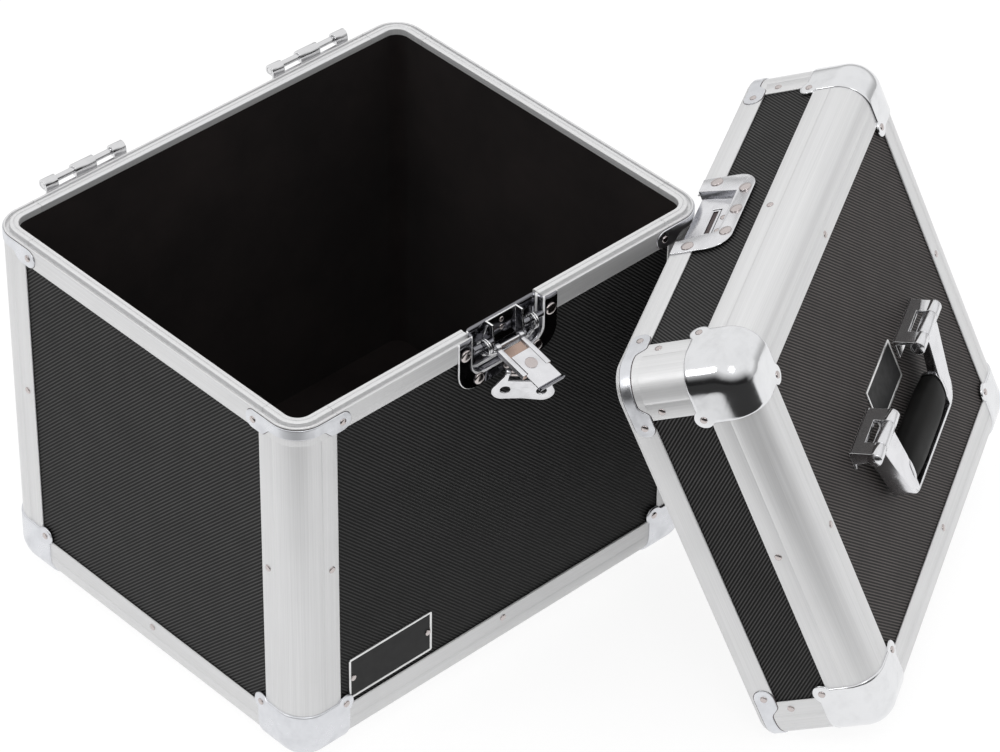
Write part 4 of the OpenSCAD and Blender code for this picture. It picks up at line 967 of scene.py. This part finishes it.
rounded_copy("hinge_leaf_sheets", "hinge_leaves", "case", CHROME, 0.35)
rounded_copy("hinge_rod_bars", "hinge_rods", "case", CHROME, 0.4)
rounded_copy("hinge_hook_sheets", "lid_hinge_hooks", "lid", CHROME, 0.3)


# ---- handle ----

def rounded_section(w, h, power, count=40):
    """A rounded rectangle: cos and sin of one turn, each to the power 2 / power, kept signed."""
    t = np.linspace(0, 2 * np.pi, count, endpoint=False)
    c, s = np.cos(t), np.sin(t)
    return np.column_stack([w / 2 * np.sign(c) * np.abs(c) ** (2 / power),
                            h / 2 * np.sign(s) * np.abs(s) ** (2 / power)])


def along_grip(section, sizes):
    """A solid along the grip's middle line through sections given as (x, size)."""
    return outward(tube(np.stack([
        np.column_stack([np.full(len(section), x), section * size + [GRIP_Y, GRIP_Z]])
        for x, size in sizes])))


def grip_body():
    """Grip as rounded sections along x: full over the middle, slimmer towards both ends by the
    fourth power of the distance, and rounded by a quarter ellipse over the last 3 at each end."""
    x = np.concatenate([[-44, -43.8, -43.3, -42.4], np.linspace(-41, 41, 41),
                        [42.4, 43.3, 43.8, 44]])
    ends = np.sqrt(np.clip(1 - np.clip((np.abs(x) - 41) / 3, 0, 1) ** 2, 0, 1))
    size = (1 - 0.16 * (x / 44) ** 4) * (0.82 + 0.18 * ends)
    section = rounded_section(27.6, 17.4, 2.7)
    return along_grip(section, zip(x, size))


build("grip_rubber", "handle", RUBBER, [(*grip_body(), HANDLE)], ["handle_grip"])
rounded_copy("bail_sheet", "handle_bail", "handle", SHEET, 0.8)
# The brackets' rounded edges take a painted highlight.
brackets = rounded_copy("bracket_sheets", "handle_brackets", "lid", CHROME, 0.35,
                        rim=PAINTED_HIGHLIGHT_EDGE)
# The brackets' outer walls stand steeper than the solids', so that they mirror the lid's top.
spots = np.empty(len(brackets.data.vertices) * 3)
brackets.data.vertices.foreach_get("co", spots)
spots = (spots.reshape(-1, 3) * 1000 - HANDLE[:3, 3]) @ HANDLE[:3, :3]
wall = (spots[:, 1] < -3) & (spots[:, 2] < -1)
spots[:, 1] += np.where(wall, -0.13 * spots[:, 2], 0)
spots = (spots @ HANDLE[:3, :3].T + HANDLE[:3, 3]) / 1000
brackets.data.vertices.foreach_set("co", spots.ravel())
tint(brackets, SHEET, HANDLE, lambda p: (np.hypot(p[:, 1], p[:, 2]) < 5.4) & (p[:, 1] > -4.4))
tint(brackets, CHROME, HANDLE, lambda p: (p[:, 1] < -2.0) & (p[:, 2] < -3), flat=True)
rounded_copy("handle_pin_bars", "handle_pins", "lid", SHEET, 0.4)
FERRULE = along_grip(rounded_section(25.0, 16.0, 2.7), ((43.4, 1.0), (46.2, 1.0), (46.6, 0.97)))
build("grip_ferrules", "handle", SHEET,
      [(*FERRULE, HANDLE), (*FERRULE, HANDLE @ MIRRORED)])


# ---- bare label plates ----

def framed_plate(w, h, t):
    """A plate with a raised border: the outline's height steps from 0 to t, keeps it over the
    border, and steps down by 0.3 to the bare field."""
    steps = [(0, 0), (0, t - 0.2), (0.2, t), (1.5, t), (1.7, t - 0.3)]
    rings = []
    for inset, z in steps:
        x, y, r = w / 2 - inset, h / 2 - inset, max(0.4, 1.6 - inset)
        ring = np.vstack([arc(x - r, y - r, r, 0, 90, 5), arc(-x + r, y - r, r, 90, 180, 5),
                          arc(-x + r, -y + r, r, 180, 270, 5), arc(x - r, -y + r, r, 270, 360, 5)])
        rings.append(np.column_stack([ring, np.full(len(ring), z)]))
    return outward(tube(np.stack(rings)))


def label_plate(name, node, body, where, w, h):
    """A framed plate whose last face, the field inside the border, is lacquered."""
    points, faces = framed_plate(w, h, 1.0)
    piece = build(name, body, PLATE_BORDER, [(points, faces, where)], [node])
    piece.data.materials.append(PLATE_FIELD)
    piece.data.polygons[len(faces) - 1].material_index = 1


label_plate("box_bare_plate", "box_label_plate", "case",
            on_wall(0) @ moved(LABEL_X, SKIN, LABEL_Z) @ OUT, 71, 33)
label_plate("lid_bare_plate", "lid_label_plate", "lid", LID @ moved(0, 0, LID_H - SKIN), 60, 30)
build("label_rivet_heads", "case", RIVET,
      [(*dome(2.2, 0.8), on_wall(0) @ moved(LABEL_X + s * 32, 0.55, LABEL_Z) @ OUT)
       for s in (-1, 1)])


# ---- stage, light and camera ----

DARK_SIDE = (-0.73, -0.68, 0.0)  # where reflections see a dark, low part of the room
DARK_FROM, DARK_TO = 0.45, 0.6  # metres on that side over which the floor turns dark to them
LIFT = 0.8  # how much of the floor is even white to the camera
FLOOR_HALF = 6.0
MIDDLE = (0.05, -0.1, 0.15)  # the lamps' target


def stage_material(name):
    """A plain pale surface that takes the shadow. Seen by the camera, in reflections or through
    glass, LIFT of it is replaced by an even white, so that it is as bright as the background.
    Reflections see it turn dark towards the room's dark side."""
    mat, net = new_material(name)
    pale = net.tree.nodes["Principled BSDF"]
    pale.inputs["Base Color"].default_value = (0.9, 0.9, 0.9, 1)
    pale.inputs["Roughness"].default_value = 0.9
    pale.inputs["Specular IOR Level"].default_value = 0.1
    path = net.node("LightPath")
    seen = net.math("MAXIMUM", path.outputs["Is Camera Ray"], path.outputs["Is Glossy Ray"])
    seen = net.math("MAXIMUM", seen, path.outputs["Is Transmission Ray"])
    white = net.node("Emission")
    far = net.dot(net.node("TexCoord").outputs["Object"], DARK_SIDE)
    far = net.span(far, DARK_FROM, DARK_TO, 0.0, 1.0)
    far = net.math("MULTIPLY", far, path.outputs["Is Glossy Ray"])
    net.join(net.span(far, 0.0, 1.0, 1.1, 0.04), white.inputs["Strength"])
    blend = net.node("MixShader")
    net.join(net.math("MAXIMUM", net.math("MULTIPLY", seen, LIFT), far), blend.inputs["Fac"])
    net.join(pale.outputs[0], blend.inputs[1])
    net.join(white.outputs[0], blend.inputs[2])
    net.join(blend.outputs[0], net.tree.nodes["Material Output"].inputs["Surface"])
    return mat


floor = bpy.data.objects.new("Floor", bpy.data.meshes.new("Floor"))
floor.data.from_pydata([(x * FLOOR_HALF, y * FLOOR_HALF, 0)
                        for x, y in ((-1, -1), (1, -1), (1, 1), (-1, 1))], [], [(0, 1, 2, 3)])
bpy.context.scene.collection.objects.link(floor)
floor.data.materials.append(stage_material("Pale floor"))

world = bpy.data.worlds.new("Soft room")
bpy.context.scene.world = world
world.use_nodes = True
wnet = Net(world.node_tree)
background = world.node_tree.nodes["Background"]
path = wnet.node("LightPath")
white = wnet.math("MAXIMUM", path.outputs["Is Camera Ray"], path.outputs["Is Transmission Ray"])
sky = wnet.node("SeparateXYZ")
wnet.join(wnet.node("TexCoord").outputs["Generated"], sky.inputs[0])
ramp = wnet.node("ValToRGB")  # brightness of the room by height, for reflections
stops = ramp.color_ramp.elements
for at, value in ((0.0, 0.5), (0.1, 0.6), (0.3, 1.0), (1.0, 1.0)):
    stop = stops[0] if at == 0 else stops[-1] if at == 1 else stops.new(at)
    stop.position, stop.color = at, (value, value, value, 1)
wnet.join(sky.outputs["Z"], ramp.inputs["Fac"])
front = wnet.dot(wnet.node("TexCoord").outputs["Generated"], DARK_SIDE)
front = wnet.span(front, 0.1, 0.5, 0.0, 1.0)
low = wnet.span(sky.outputs["Z"], 0.62, 0.15, 0.0, 0.97)
room = wnet.math("MULTIPLY", ramp.outputs["Color"],
                 wnet.math("SUBTRACT", 1.0, wnet.math("MULTIPLY", front, low)))
unseen = wnet.math("MULTIPLY", wnet.math("SUBTRACT", 1.0, path.outputs["Is Glossy Ray"]), 0.5)
level = wnet.math("ADD", wnet.math("MULTIPLY", room, path.outputs["Is Glossy Ray"]), unseen)
wnet.join(wnet.math("MAXIMUM", level, white), background.inputs["Strength"])
background.inputs["Color"].default_value = (1, 1, 1, 1)


def soft_lamp(name, place_at, target, size, power, disk=False):
    """A square lamp that reflections don't see, or a round one that they do."""
    lamp = bpy.data.lights.new(name, "AREA")
    lamp.shape, lamp.size, lamp.size_y = "DISK" if disk else "RECTANGLE", size, size
    lamp.energy = power
    ob = bpy.data.objects.new(name, lamp)
    ob.location = place_at
    ob.rotation_mode = "QUATERNION"
    ob.rotation_quaternion = (Vector(target) - Vector(place_at)).to_track_quat("-Z", "Y")
    ob.visible_glossy = disk
    bpy.context.scene.collection.objects.link(ob)


soft_lamp("Key", (-1.9, -1.1, 1.7), MIDDLE, 2.4, 12)
soft_lamp("Fill", (1.9, -0.9, 1.1), (0.1, -0.1, 0.15), 2.4, 8)
soft_lamp("Top", (0.1, 0.4, 2.2), MIDDLE, 2.4, 19)
soft_lamp("Round left", (-1.77, 0.4, 1.35), MIDDLE, 0.6, 4, disk=True)
soft_lamp("Round right", (-0.7, -1.3, 1.8), MIDDLE, 0.6, 4, disk=True)

# The camera as fitted to the photograph: angles in degrees, what it looks at and its distance in
# millimetres, and its focal length in widths of the picture.
AZIMUTH, ELEVATION, ROLL = -133.676, 38.463, 0.837
AIM, DISTANCE, FOCAL, SENSOR = (4.11, -136.54, 222.35), 2825.99, 4.49367, 36.0
camera = bpy.data.objects.new("Camera", bpy.data.cameras.new("Camera"))
bpy.context.scene.collection.objects.link(camera)
az, el, roll = np.radians((AZIMUTH, ELEVATION, ROLL))
back = np.array([np.cos(el) * np.cos(az), np.cos(el) * np.sin(az), np.sin(el)])
eye = np.array(AIM) + DISTANCE * back
right = np.cross(-back, [0, 0, 1])
right /= np.linalg.norm(right)
up = np.cross(right, -back)
right, up = np.cos(roll) * right + np.sin(roll) * up, -np.sin(roll) * right + np.cos(roll) * up
camera.matrix_world = Matrix(place(right, up, back, eye / 1000).tolist())
camera.data.sensor_width = SENSOR
camera.data.lens = FOCAL * SENSOR
camera.data.clip_end = 50
bpy.context.scene.camera = camera
bpy.context.scene.view_settings.view_transform = "Standard"
